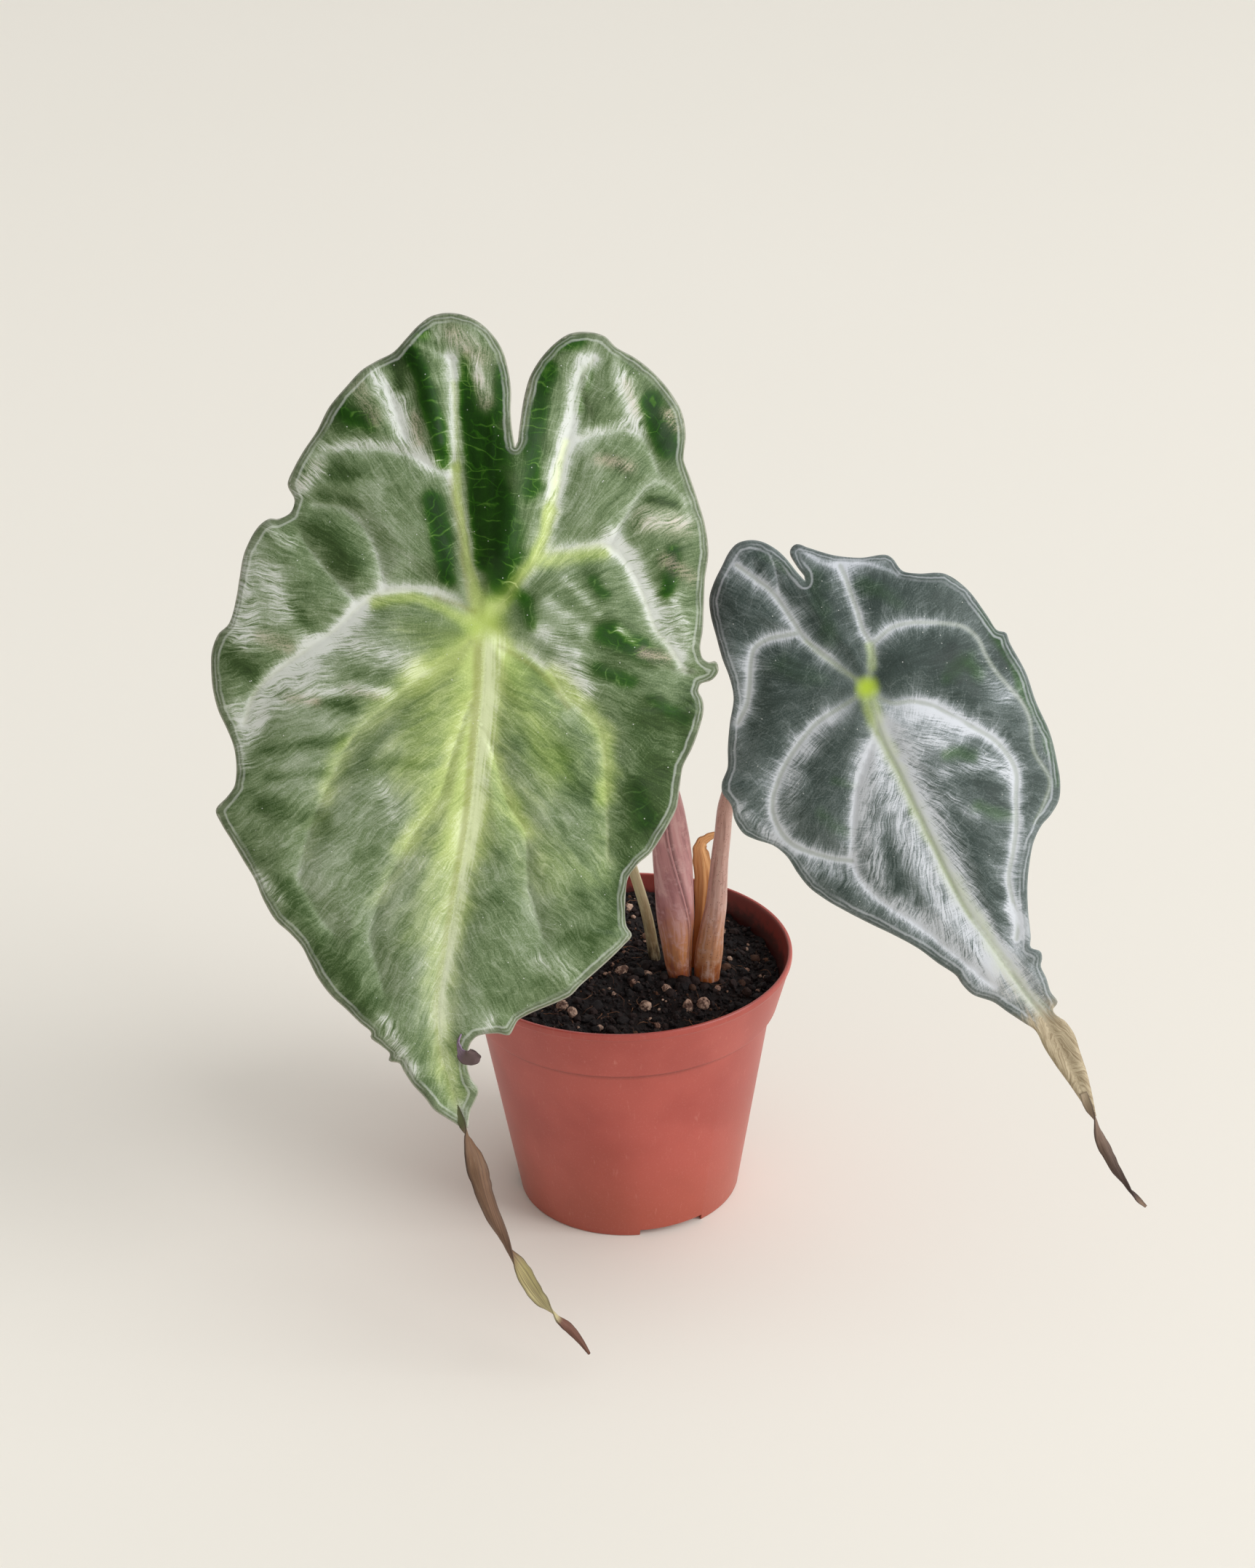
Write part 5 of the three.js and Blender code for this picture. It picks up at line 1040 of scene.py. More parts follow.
def ribbon(name, spec, material):
    """A narrow folded strip that twists as it goes."""
    leaf = spec["leaf"]
    path = np.array(spec["path"], float)
    root = face_height(leaf, path[:1, :2], np.array([spec["root_edge"]], float), np.zeros(1))
    root -= rest_height(leaf)
    shares = np.linspace(0, 1, 8 * len(path) + 1)
    axis = curve(in_space(leaf, path[:, 0], path[:, 1], path[:, 2] + root), shares)
    form = curve(np.stack([spec["width"], spec["twist"]], 1), shares)
    out = leaf_frame(leaf)[3]
    ahead = tangents(axis)
    rings = []
    s = np.linspace(-1, 1, RIBBON_FACETS + 1)
    for k, (centre, forward) in enumerate(zip(axis, ahead)):
        wide, turned = form[k][0], form[k][1] * DEGREE
        level = unit(np.cross(out, forward))
        side = level * math.cos(turned) + np.cross(forward, level) * math.sin(turned)
        face = unit(np.cross(forward, side))
        crinkle = 0.10 * wide * ripple(s * 2.2, k * 0.21, 5) * np.abs(s)
        fold = 0.16 * wide * np.abs(s) ** 1.3 + crinkle
        uneven = 1 + 0.06 * ripple(k * 0.35, np.sign(s) * 3, 9)
        thin = BLADE_THICKNESS / 2 * (1 - 0.45 * np.abs(s))
        base = centre + np.multiply.outer(s * wide / 2 * uneven, side)
        upper = base + np.multiply.outer(fold + thin, face)
        lower = base + np.multiply.outer(fold - thin, face)
        rings.append(np.concatenate([upper[::-1], lower]))
    return strip_object(name, rings, shares, np.concatenate([s[::-1], s]), material)


def strip_object(name, rings, shares, place, material):
    """A strip through rings, with its share of the length and its place across as fields."""
    points, faces = loft(rings)
    run = np.append(np.repeat(shares, len(place)), [0, 1])
    side = np.append(np.tile(place, len(rings)), [0, 0])
    return mesh_object(name, points, faces, [material], fields={"run": run, "side": side})


# Stalks and the dry sheath

def stalk_piece(name, spec, material, sides, steps, leaf=None):
    """A tapering stem. With a leaf, it ends square to the blade's back."""
    axis = [tuple(p) for p in spec["axis"]]
    if leaf:
        out = leaf_frame(leaf)[3]
        seat = in_space(leaf, 0.0, 0.0, -BLADE_THICKNESS / 2 - STALK_GAP)
        axis += [tuple(seat - out * spec["bend"]), tuple(seat)]
    shares = np.linspace(0, 1, steps + 1)
    line = curve(axis, shares)
    form = curve(spec["size"], shares)
    ahead = tangents(line)
    if leaf:
        ahead[-1] = out
    place = (np.arange(sides) + 0.5) / sides
    rings = []
    for k in range(steps + 1):
        side = unit(np.array([1.0, 0, 0]) - ahead[k] * ahead[k][0])
        back = np.cross(ahead[k], side)
        wide, deep = form[k]
        seam = 0.72 + 0.16 * smooth(line[k][2], 152, 100) if spec["flap"] else 0.25
        angle = 2 * math.pi * (place + seam)
        lap = (place - 0.5) * smooth(place, 0, 0.05)
        clasp = min(max((wide - 4.0) / 2, 0), 1) * spec["flap"] * lap * 1.6
        grain = 0.05 * ripple(place * 35, k * 0.05, 4) * min(1, wide / 4)
        lump = 0.04 * wide * ripple(k * 0.045, np.cos(angle) + 3, 7)
        extra = clasp + grain + lump
        rings.append(line[k] + np.multiply.outer((wide + extra) * np.cos(angle), side)
                     + np.multiply.outer((deep + extra) * np.sin(angle), back))
    points, faces = loft(rings)
    height = line[:, 2]
    fields = {"angle": np.append(np.tile(place, steps + 1), [0.5, 0.5]),
              "height": np.append(np.repeat(height, sides), [height[0], height[-1]])}
    return mesh_object(name, points, faces, [material], fields=fields)


def sheath_piece(name, material):
    """A thin papery strip, curled along its length and ragged at its sides."""
    shares = np.linspace(0, 1, SHEATH_STEPS + 1)
    line = curve(SHEATH["axis"], shares)
    form = curve(SHEATH["size"], shares)
    ahead = tangents(line)
    rings = []
    s = np.linspace(-1, 1, SHEATH_FACETS + 1)
    for k in range(SHEATH_STEPS + 1):
        front = unit(np.array([0, -1.0, 0]) + ahead[k] * ahead[k][1])
        side = np.cross(ahead[k], front)
        wide, curl = form[k]
        ragged = 1 + 0.10 * ripple(k * 0.13, np.sign(s) * 4, 21)
        crease = 0.35 * ripple(s * 3.1, k * 0.035, 17) * min(1, wide / 3)
        lift = curl * (1 - s**2) + crease
        thin = SHEATH["thickness"] / 2 * (1 - 0.55 * np.abs(s))
        base = line[k] + np.multiply.outer(s * wide * ragged, side)
        upper = base + np.multiply.outer(lift + thin, front)
        lower = base + np.multiply.outer(lift - thin, front)
        rings.append(np.concatenate([upper, lower[::-1]]))
    return strip_object(name, rings, shares, np.concatenate([s, s[::-1]]), material)


# Pot

def inner_radius(height):
    """Radius of the pot's inside: the lower wall, the lip, and an even step between them."""
    below = FOOT_RADIUS - 0.4 + (WALL_TOP_RADIUS - FOOT_RADIUS + 0.4) * height / LIP_FOOT - WALL
    above = LIP_FOOT_RADIUS + (RIM_RADIUS - LIP_FOOT_RADIUS) * (height - LIP_FOOT) / LIP_HEIGHT - WALL
    return below + (above - below) * np.clip((height - LIP_FOOT + 2) / 4, 0, 1)


def rounded(profile, radius, steps=3):
    """A profile with each corner eased over that radius."""
    p = np.array(profile, float)
    eased = [p[0]]
    for before, corner, after in zip(p, p[1:], p[2:]):
        back, on = before - corner, after - corner
        size_back, size_on = np.linalg.norm(back), np.linalg.norm(on)
        start = corner + back * min(radius, 0.4 * size_back) / size_back
        end = corner + on * min(radius, 0.4 * size_on) / size_on
        for t in np.linspace(0, 1, steps + 1):
            eased.append((1 - t) ** 2 * start + 2 * t * (1 - t) * corner + t * t * end)
    eased.append(p[-1])
    return np.array(eased)


def pot_profile():
    """Half of the pot's section, from under the middle of its floor round to the top of it."""
    ring_inside = FOOT_RADIUS - FOOT_RING_WIDTH
    outside = [
        (0, 0), (CENTRE_PAD_RADIUS, 0), (CENTRE_PAD_RADIUS, FOOT_RISE), (ring_inside, FOOT_RISE),
        (ring_inside, 0), (FOOT_RADIUS, 0), (WALL_TOP_RADIUS, LIP_FOOT - 0.6),
        (LIP_FOOT_RADIUS, LIP_FOOT + 0.2), (RIM_RADIUS - 0.5, POT_HEIGHT - 2.8),
        (RIM_RADIUS, POT_HEIGHT - 2.2), (RIM_RADIUS, POT_HEIGHT), (RIM_RADIUS - WALL, POT_HEIGHT),
    ]
    heights = (POT_HEIGHT - 2, LIP_FOOT + 2, LIP_FOOT - 2, FLOOR_TOP)
    return rounded([*outside, *((inner_radius(z), z) for z in heights), (0, FLOOR_TOP)], CORNER_RADIUS)[1:-1]


def pot_piece(outer, inner):
    """The pot from two materials, with its notches and drainage holes cut."""
    angle = np.arange(POT_SIDES) * 2 * math.pi / POT_SIDES
    cos, sin = np.cos(angle), np.sin(angle)
    points, faces = loft([np.stack([r * cos, r * sin, np.full(POT_SIDES, z)], 1) for r, z in pot_profile()])
    pot = mesh_object("pot_skin", points, faces, [outer, inner])
    cutter = cut_shape()
    cut = pot.modifiers.new("cut", "BOOLEAN")
    cut.operation = "DIFFERENCE"
    cut.solver = "EXACT"
    cut.object = cutter
    graph = bpy.context.evaluated_depsgraph_get()
    shaped = bpy.data.meshes.new_from_object(pot.evaluated_get(graph))
    pot.modifiers.clear()
    pot.data = shaped
    bpy.data.objects.remove(cutter)
    shaped.set_sharp_from_angle(angle=35 * DEGREE)
    for face in shaped.polygons:
        x, y, z = face.center
        if z > FOOT_RISE * MM * 1.3 and x * face.normal.x + y * face.normal.y < -0.3 * math.hypot(x, y):
            face.material_index = 1
    return pot


def cut_shape():
    """The three notches in the foot ring and the six drainage holes, as one cutting mesh."""
    points, faces = [], []

    def add(shape, shape_faces):
        start = len(points)
        points.extend(shape)
        faces.extend([[i + start for i in f] for f in shape_faces])

    box = [(0, 1, 3, 2), (4, 6, 7, 5), (0, 4, 5, 1), (2, 3, 7, 6), (0, 2, 6, 4), (1, 5, 7, 3)]
    for k in range(NOTCH_COUNT):
        turn = (NOTCH_FIRST_TURN + k * 360 / NOTCH_COUNT) * DEGREE
        corners = [(x, y, z) for x in (0.5 * FOOT_RADIUS, 1.5 * FOOT_RADIUS)
                   for y in (-NOTCH_WIDTH / 2, NOTCH_WIDTH / 2) for z in (-FOOT_RISE, FOOT_RISE)]
        add([(x * math.cos(turn) - y * math.sin(turn), x * math.sin(turn) + y * math.cos(turn), z)
             for x, y, z in corners], box)
    sides = DRAIN_SIDES
    for k in range(DRAIN_COUNT):
        turn = (k + 0.5) * 2 * math.pi / DRAIN_COUNT
        ring = [(DRAIN_CIRCLE * math.cos(turn) + DRAIN_RADIUS * math.cos(2 * math.pi * i / sides),
                 DRAIN_CIRCLE * math.sin(turn) + DRAIN_RADIUS * math.sin(2 * math.pi * i / sides))
                for i in range(sides)]
        low = [(x, y, FOOT_RISE - 1) for x, y in ring]
        high = [(x, y, FLOOR_TOP + 1) for x, y in ring]
        walls = [(i, (i + 1) % sides, sides + (i + 1) % sides, sides + i) for i in range(sides)]
        add(low + high, [tuple(range(sides))[::-1], tuple(range(sides, 2 * sides)), *walls])
    return mesh_object("cutter", points, faces, [])


# Soil

def soil_height(x, y):
    """The bed's rough level: a slope, low rolls and the mound round the stalks."""
    mx, my = SOIL_MOUND_CENTRE
    away = np.hypot(x - mx, y - my) / SOIL_MOUND_REACH
    rolls = np.sin(0.21 * x + 1.3) * np.cos(0.17 * y + 0.4) + 0.5 * np.sin(0.43 * x - 0.37 * y)
    return (SOIL_LEVEL + SOIL_SLOPE[0] * x + SOIL_SLOPE[1] * y + 0.7 * rolls
            + SOIL_MOUND * np.exp(-(away**2)))


def soil_top(x, y):
    """The bed's own surface, lumpy and open."""
    lumps = 1.1 * layered(x / 5, y / 5, 31, 4) - 0.5 * np.abs(layered(x / 2.2, y / 2.2, 47, 3))
    return soil_height(x, y) + lumps - 0.3


def soil_bed(material):
    angle = np.arange(SOIL_SPOKES) * 2 * math.pi / SOIL_SPOKES
    cos, sin = np.cos(angle), np.sin(angle)
    rings = []
    for height in SOIL_WALL_HEIGHTS:
        radius = inner_radius(height) - SOIL_GAP
        rings.append(np.stack([radius * cos, radius * sin, np.full(SOIL_SPOKES, height)], 1))
    for share in np.linspace(1, 0.012, SOIL_TOP_ROUNDS):
        radius = (inner_radius(SOIL_LEVEL) - SOIL_GAP) * share
        z = soil_top(radius * cos, radius * sin)
        fit = np.minimum(radius, inner_radius(z) - SOIL_GAP)
        rings.append(np.stack([fit * cos, fit * sin, z], 1))
    points, faces = loft(rings)
    return mesh_object("soil_bed", points, faces, [material])


def ball(level):
    """Unit ball of triangles: twenty sides, split level times."""
    g = (1 + math.sqrt(5)) / 2
    points = [(-1, g, 0), (1, g, 0), (-1, -g, 0), (1, -g, 0), (0, -1, g), (0, 1, g), (0, -1, -g),
              (0, 1, -g), (g, 0, -1), (g, 0, 1), (-g, 0, -1), (-g, 0, 1)]
    faces = [(0, 11, 5), (0, 5, 1), (0, 1, 7), (0, 7, 10), (0, 10, 11), (1, 5, 9), (5, 11, 4),
             (11, 10, 2), (10, 7, 6), (7, 1, 8), (3, 9, 4), (3, 4, 2), (3, 2, 6), (3, 6, 8), (3, 8, 9),
             (4, 9, 5), (2, 4, 11), (6, 2, 10), (8, 6, 7), (9, 8, 1)]
    points = [unit(p) for p in points]
    for _ in range(level):
        middle, split = {}, []
        for a, b, c in faces:
            ends = []
            for pair in ((a, b), (b, c), (c, a)):
                key = tuple(sorted(pair))
                if key not in middle:
                    middle[key] = len(points)
                    points.append(unit(points[key[0]] + points[key[1]]))
                ends.append(middle[key])
            split += [(a, ends[0], ends[2]), (b, ends[1], ends[0]), (c, ends[2], ends[1]), tuple(ends)]
        faces = split
    return np.array(points), np.array(faces)


def rotation(w, x, y, z):
    """The matrix of a turn given as four numbers."""
    return np.array([
        [1 - 2 * (y * y + z * z), 2 * (x * y - z * w), 2 * (x * z + y * w)],
        [2 * (x * y + z * w), 1 - 2 * (x * x + z * z), 2 * (y * z - x * w)],
        [2 * (x * z - y * w), 2 * (y * z + x * w), 1 - 2 * (x * x + y * y)],
    ])


def stones(name, places, sizes, material, level, rough, rng, flat=True):
    """Many irregular grains as one piece."""
    base, base_faces = ball(level)
    narrow, broad = (0.75, 0.7, 0.8 * GRAIN_FLATNESS), (1.35, 1.1, 1.2 * GRAIN_FLATNESS)
    all_points, all_faces, tones = [], [], []
    for k, (place, size) in enumerate(zip(places, sizes)):
        turn = rotation(*unit(rng.normal(size=4)))
        stretch = rng.uniform(narrow, broad)
        wobble = 1 + rough * rng.uniform(-1, 1, len(base))[:, None]
        all_points.append((base * wobble * stretch * size) @ turn.T + place)
        all_faces.append(base_faces + k * len(base))
        tones.append(np.full(len(base), rng.uniform()))
    return mesh_object(name, np.concatenate(all_points), np.concatenate(all_faces), [material],
                       fields={"tone": np.concatenate(tones)}, flat=flat)


def laid(grains):
    """Places on the soil for grains given by x, y and size, then their sizes."""
    places = [(x, y, float(soil_top(x, y)) + 0.35 * size) for x, y, size in grains]
    return places, [size for _, _, size in grains]


def clear_of_stems(x, y, size):
    return all(math.hypot(x - sx, y - sy) > reach + 0.6 * size for sx, sy, reach in STEMS)


def scatter(count, low, high, power, lift, rng):
    """Places on the soil with sizes, the small ones the most common."""
    places, sizes = [], []
    while len(places) < count:
        size = low + (high - low) * rng.uniform() ** power
        radius = (inner_radius(SOIL_LEVEL) - 1.0 - size) * math.sqrt(rng.uniform())
        turn = rng.uniform(0, 2 * math.pi)
        x, y = radius * math.cos(turn), radius * math.sin(turn)
        if clear_of_stems(x, y, size):
            places.append((x, y, float(soil_top(x, y)) + size * (lift + 0.5 * rng.uniform())))
            sizes.append(size)
    return places, sizes


def fibre_rings(rng):
    """Four-sided rings of one dry strand that lies on the soil."""
    length = rng.uniform(4, 13)
    radius = rng.uniform(0.08, 0.2)
    reach = 50 * math.sqrt(rng.uniform())
    turn, heading = rng.uniform(0, 2 * math.pi, 2)
    x, y = reach * math.cos(turn), reach * math.sin(turn)
    bend = rng.uniform(-0.12, 0.12)
    limit = inner_radius(SOIL_LEVEL) - 1.2
    rings = []
    for k in range(9):
        z = float(soil_top(x, y)) + 0.25 + 0.8 * math.sin(math.pi * k / 8) * rng.uniform(0.3, 1)
        across = np.array([-math.sin(heading), math.cos(heading), 0])
        slim = radius * (1 - 0.8 * abs(k / 4 - 1) ** 2)
        rings.append([np.array([x, y, z]) + slim * (math.cos(a) * across + math.sin(a) * np.array([0, 0, 1]))
                      for a in (0.5, 2.1, 3.7, 5.2)])
        x += length / 8 * math.cos(heading)
        y += length / 8 * math.sin(heading)
        heading += bend * length / 3
        if math.hypot(x, y) > limit:
            x, y = x * limit / math.hypot(x, y), y * limit / math.hypot(x, y)
    return rings


def fibres(name, material, rng):
    """Thin dry strands that lie on the soil, as one piece."""
    points, faces = [], []
    for _ in range(FIBRE_COUNT):
        some, some_faces = loft(fibre_rings(rng))
        faces += [[i + len(points) for i in f] for f in some_faces]
        points += some.tolist()
    return mesh_object(name, points, faces, [material])


# Finishes

def vein_core(gap, width):
    """1 on a vein's line, fading over that width."""
    share = gap / width
    return gap.paint.math("EXPONENT", share * share * -1.0)


def fuzz(p, kind, reach, seed, size):
    """Silver strands that leave a vein at right angles and fade out, in clumps of uneven length."""
    run, gap, width = p[kind + "_run"], p[kind + "_gap"], p[kind + "_width"]
    strand = p.streaks(run, gap, seed, size, 3, 0.65, 0.3)
    clump = p.streaks(run, gap, seed + 9, (0.22, 0.05), 2, 0.5)
    over = p.larger(gap - width * 0.5, 0.0)
    fade = p.math("EXPONENT", over / (reach * p.band(clump, 0.3, 0.7, 0.45, 1.5)) * -1.0)
    level = p.band(strand + fade * 0.25, 0.38, 0.85, 0.15, 1.15) * p.band(width, 0.4, 1.6, 0.3, 1.0)
    return fade * level * p.band(p["hub"], 5, 20, 0.1, 1.0)


def veinlets(p):
    """Fine wavy cross veins that leave the main veins, with a loose net between them."""
    at = p.place(p["leaf_u"], p["leaf_v"], 2.0)
    phase = p["vein_run"] * 0.21 + p["vein_gap"] * 0.07 + p.noise(at, 0.10, 2, 0.5) * 2.2
    off = abs(p.math("FRACT", phase) - 0.5)
    cross = p.band(off, 0.09, 0.015) * p.band(p.noise(at, 0.21, 2), 0.38, 0.52)
    cross = cross * p.band(p["vein_split"], 0.8, 4.0) * p.band(p["hub"], 7, 14)
    warp = p.noise(at, 0.22, 1)
    bent = p.vector("ADD", at, p.place(warp, warp, 0.0, (5.0, 4.0, 0)))
    loops = p.band(p.cells(bent, 0.17), 0.055, 0.005) * p.band(p.noise(at, 0.13, 2), 0.42, 0.56)
    return p.larger(cross, loops * 0.7)


def hair(p, at):
    """Swaying hair and broad streaks along the leaf's grain, each about 0."""
    across = p["across"] + (p.noise(at, 0.09, 2, 0.5) - 0.5) * 8.0
    fine = p.streaks(across, p["along"], 0.0, (1.15, 0.12), 5, 0.72, 0.5)
    broad = p.streaks(across, p["along"], 3.0, (0.2, 0.075), 3, 0.55, 0.6)
    return (fine - 0.5) * p.band(p["hub"], 8, 30, 0.0, 1.3), (broad - 0.5) * p.band(p["hub"], 6, 24)


def panel_tone(p, look, fine, broad, patch, stipple):
    """Tone between the veins: 0 is the darkest panel, 1 the whitest silver."""
    deep, silver, glow = p["deep"], p["silver"], p["glow"]
    tone = p["haze"] * look["haze"] + silver * (fine * 2.4 + 0.84) * look["dust"] + look["level"]
    tone = tone - deep * look["deepen"] - p["shade"] * look["darken"] + glow * look["lift"]
    tone = tone + p.band(p["rim_gap"], 8.0, 1.0, 0.0, look["rim_lift"])
    texture = fine * p.band(silver, 0.0, 1.0, look["grain"], look["hair"]) + broad * look["streak"]
    texture = texture + patch * look["cloud"] + stipple * look["stipple"]
    return tone + texture * p.band(deep + glow * 0.6, 0.2, 0.9, 1.0, look["calm"])


def vein_tone(p, look, stipple):
    """What the veins add to the tone: pale bands with a fringe, softer where the yellow spreads."""
    reach = p.band(p["silver"], 0, 1, 0.85, 1.3) * look["reach"]
    fringe = fuzz(p, "vein", reach, 0.0, look["strand"])
    fringe = fringe + fuzz(p, "twig", reach * look["twig_reach"], 4.0, look["strand"]) * 0.8
    body = vein_core(abs(p["vein_gap"] + stipple * 1.2), p["vein_width"] * look["vein_width"])
    twig = vein_core(p["twig_gap"], p["twig_width"] * look["twig_width"]) * p.band(p["hub"], 5, 20)
    bands = body * look["vein"] + twig * look["twig"] + fringe * look["fuzz"]
    soft = p.band(p["glow"], 0.1, 0.7, 1.0, 1.0 - look["soft"])
    faded = p.band(p["leaf_v"], -14, -55, 1.0, look["fade"])
    wide = look["halo_width"]
    halo = p.larger(vein_core(p["vein_gap"], wide), vein_core(p["twig_gap"], 0.8 * wide) * 0.8)
    net = veinlets(p) * p.band(p["deep"], 0.2, 0.8, look["net"], look["net_deep"])
    return bands * soft * faded + halo * p["glow"] * look["halo"] + net


def midrib_sides(p, wide, stipple):
    """Shares of the midrib's lit right side and of its shaded left side."""
    below = p.band(p["leaf_v"], 0, -8) * p.band(p["leaf_v"], -150, -40, 0.25, 1.0)
    side = (p["midrib"] + stipple * 1.6) * p.band(p["leaf_v"], -150, 0, 1.0 / (0.45 * wide), 1.0 / wide)
    fibres = p.band(p.streaks(p["midrib"], p["leaf_v"], 1.0, (1.3, 0.05)), 0.32, 0.68, 0.35, 1.25)
    lit = p.band(side, -0.35, 0.55) * p.band(side, 1.9, 0.35) * fibres
    shaded = p.band(side, -1.0, -0.5) * p.band(side, 0.05, -0.3)
    return lit * below, shaded * below


def margin(p, look, at, patch, tint):
    """Over that tint, a dull border with two fine lines, and a pale edge."""
    rim = p["rim_gap"]
    loose = rim + patch * 2.4
    spans = p.noise(at, 0.045, 2)
    inner = p.band(loose, 1.8, 2.2) * p.band(loose, 3.0, 2.4) * p.band(spans, 0.40, 0.55, 0.25, 1.0)
    outer = p.band(loose, 0.8, 1.1) * p.band(loose, 1.6, 1.2) * p.band(spans, 0.60, 0.45, 0.0, 0.8)
    tint = p.mix(p.band(loose, 2.4, 1.6) * look["border_strength"], tint, look["border"])
    tint = p.mix(p.larger(inner, outer) * look["margin_line"], tint, look["plain"][-1])
    return p.mix(p.band(rim, 0.65, 0.15) * 0.6, tint, look["rim"])


def upper_face(leaf):
    """Upper face: one tone from dark panel to silver, tinted green in the panels and yellow at the centre."""
    look = leaf["look"]
    p = paint("leaf_" + leaf["name"] + "_face")
    at = p.place(p["leaf_u"], p["leaf_v"])
    stipple = p.noise(at, 1.9, 3, 0.75) - 0.5
    patch = p.noise(at, 0.085, 4, 0.6) - 0.5
    fine, broad = hair(p, at)
    lit, shaded = midrib_sides(p, look["midrib_width"], stipple)
    tone = panel_tone(p, look, fine, broad, patch, stipple) + vein_tone(p, look, stipple)
    tone = p.band(tone + lit * look["midrib_lift"], -0.12, 1.22)

    tint = p.ramp(tone, look["plain"])
    tint = p.mix(p.band(p["deep"] + patch * 0.6, 0.15, 0.75), tint, p.ramp(tone, look["green"]))
    tint = p.mix(p.band(p["glow"] + broad * 0.4, 0.05, 0.85), tint, p.ramp(tone, look["bright"]))
    # Painted sheen: pinkish pale patches, broken up by the hair and the stipple
    painted_sheen = p["painted_sheen"] * p.band(fine + stipple + broad * 0.6, -0.25, 0.25)
    tint = p.mix(painted_sheen * 0.7, tint, look["painted_sheen"])
    # Painted shade in olive: under the vein ridges, and over the midrib's shaded left side
    tint = p.mix(p["shade_and_stain"] * 0.55, tint, look["shade_and_stain"])
    tint = p.mix(shaded * look["midrib_shade"], tint, look["shade_and_stain"])
    line = p.band(p["vein_gap"], 1.3, 0.25) * p.band(p["silver"], 0.5, 0.9, 1.0, 0.2)
    tint = p.mix(line * look["core_shade"], tint, look["core"])
    hub = p.band(p["hub"] + patch * 3.0, *look["hub_reach"], 0.0, look["hub_strength"])
    tint = p.mix(hub, tint, look["hub"])
    mote = p.band(p.cells(at, 0.42, "F1"), 0.10, 0.05) * p.band(p.noise(at, 0.31, 2), 0.52, 0.56)
    tint = p.mix(mote * 0.7, tint, (222, 224, 220))
    tint = margin(p, look, at, patch, tint)
    if look["dry"]:
        straw = p.mix(p.band(fine, -0.2, 0.2), (146, 130, 104), (198, 184, 156))
        tint = p.mix(p.band(p["leaf_v"] + broad * 14, *look["dry"]), tint, straw)
    relief = p.bump((fine + stipple) * 0.5, 0.14, 0.7)
    return p.finish(tint, p.band(tone, 0.0, 0.8, 0.45, 0.65), 0.17, relief)


def under_face():
    """Lower face of both leaves: mauve-purple with paler raised veins."""
    p = paint("leaf_underside")
    fine = p.streaks(p["across"], p["along"], 0.0, (1.6, 0.25))
    patch = p.streaks(p["leaf_u"], p["leaf_v"], 4.0, (0.06, 0.06), 4)
    tint = p.mix(p.band(patch, 0.32, 0.68), (112, 74, 88), (138, 100, 108))
    tint = p.mix(p.band(fine, 0.45, 0.75) * 0.35, tint, (120, 112, 96))
    tint = p.mix(vein_core(p["vein_gap"], p["vein_width"] * 0.9) * 0.75, tint, (176, 132, 118))
    tint = p.mix(vein_core(p["twig_gap"], p["twig_width"] * 0.8) * 0.55, tint, (160, 118, 112))
    tint = p.mix(p.band(p["hub"], 14, 4), tint, (176, 142, 112))
    tint = p.mix(p.band(p["rim_gap"], 2.5, 0.6) * 0.5, tint, (150, 124, 128))
    return p.finish(tint, 0.5, 0.4, p.bump(fine, 0.12, 0.7))


def edge_face():
    """The pale cut edge of a blade."""
    p = paint("leaf_edge")
    tint = p.mix(p.band(p.noise(p.body(), 900, 2), 0.35, 0.65), (196, 190, 176), (228, 224, 212))
    return p.finish(tint, 0.5, 0.4)


def dry_tip(name, stops):
    """Dried leaf tissue: colours by share of its length, each with a place."""
    p = paint(name)
    fibre = p.streaks(p["side"], p["run"], 0.0, (6, 14))
    streaks = p.streaks(p["side"], p["run"], 4.0, (9, 2.5), 3, 0.65)
    tint = stops[0][1]
    for (start, _), (end, colour) in zip(stops, stops[1:]):
        tint = p.mix(p.band(p["run"], start, end), tint, colour)
    tint = p.mix(p.band(streaks, 0.42, 0.68, 0.0, 0.55), tint, (62, 44, 38))
    tint = p.mix(p.band(fibre, 0.55, 0.8, 0.0, 0.3), tint, (186, 164, 136))
    tint = p.mix(p.band(abs(p["side"]), 0.72, 1.0, 0.0, 0.55), tint, (50, 36, 32))
    return p.finish(tint, 0.62, 0.35, p.bump(streaks * 0.7 + fibre * 0.3, 0.3, 0.8))


def curl_finish():
    """The mauve underside that shows where the rim curls over, darker towards its end as painted shade inside
    the roll.
    """
    p = paint("rim_curl")
    streaks = p.streaks(p["side"], p["run"], 2.0, (5, 9))
    tint = p.mix(p.band(streaks, 0.35, 0.7), (122, 98, 124), (150, 128, 156))
    # Painted shade: darker towards the curl's end, inside the roll
    tint = p.mix(p.band(p["run"], 0.35, 0.62), tint, (92, 74, 74))
    return p.finish(tint, 0.5, 0.4, p.bump(streaks, 0.15, 0.6))


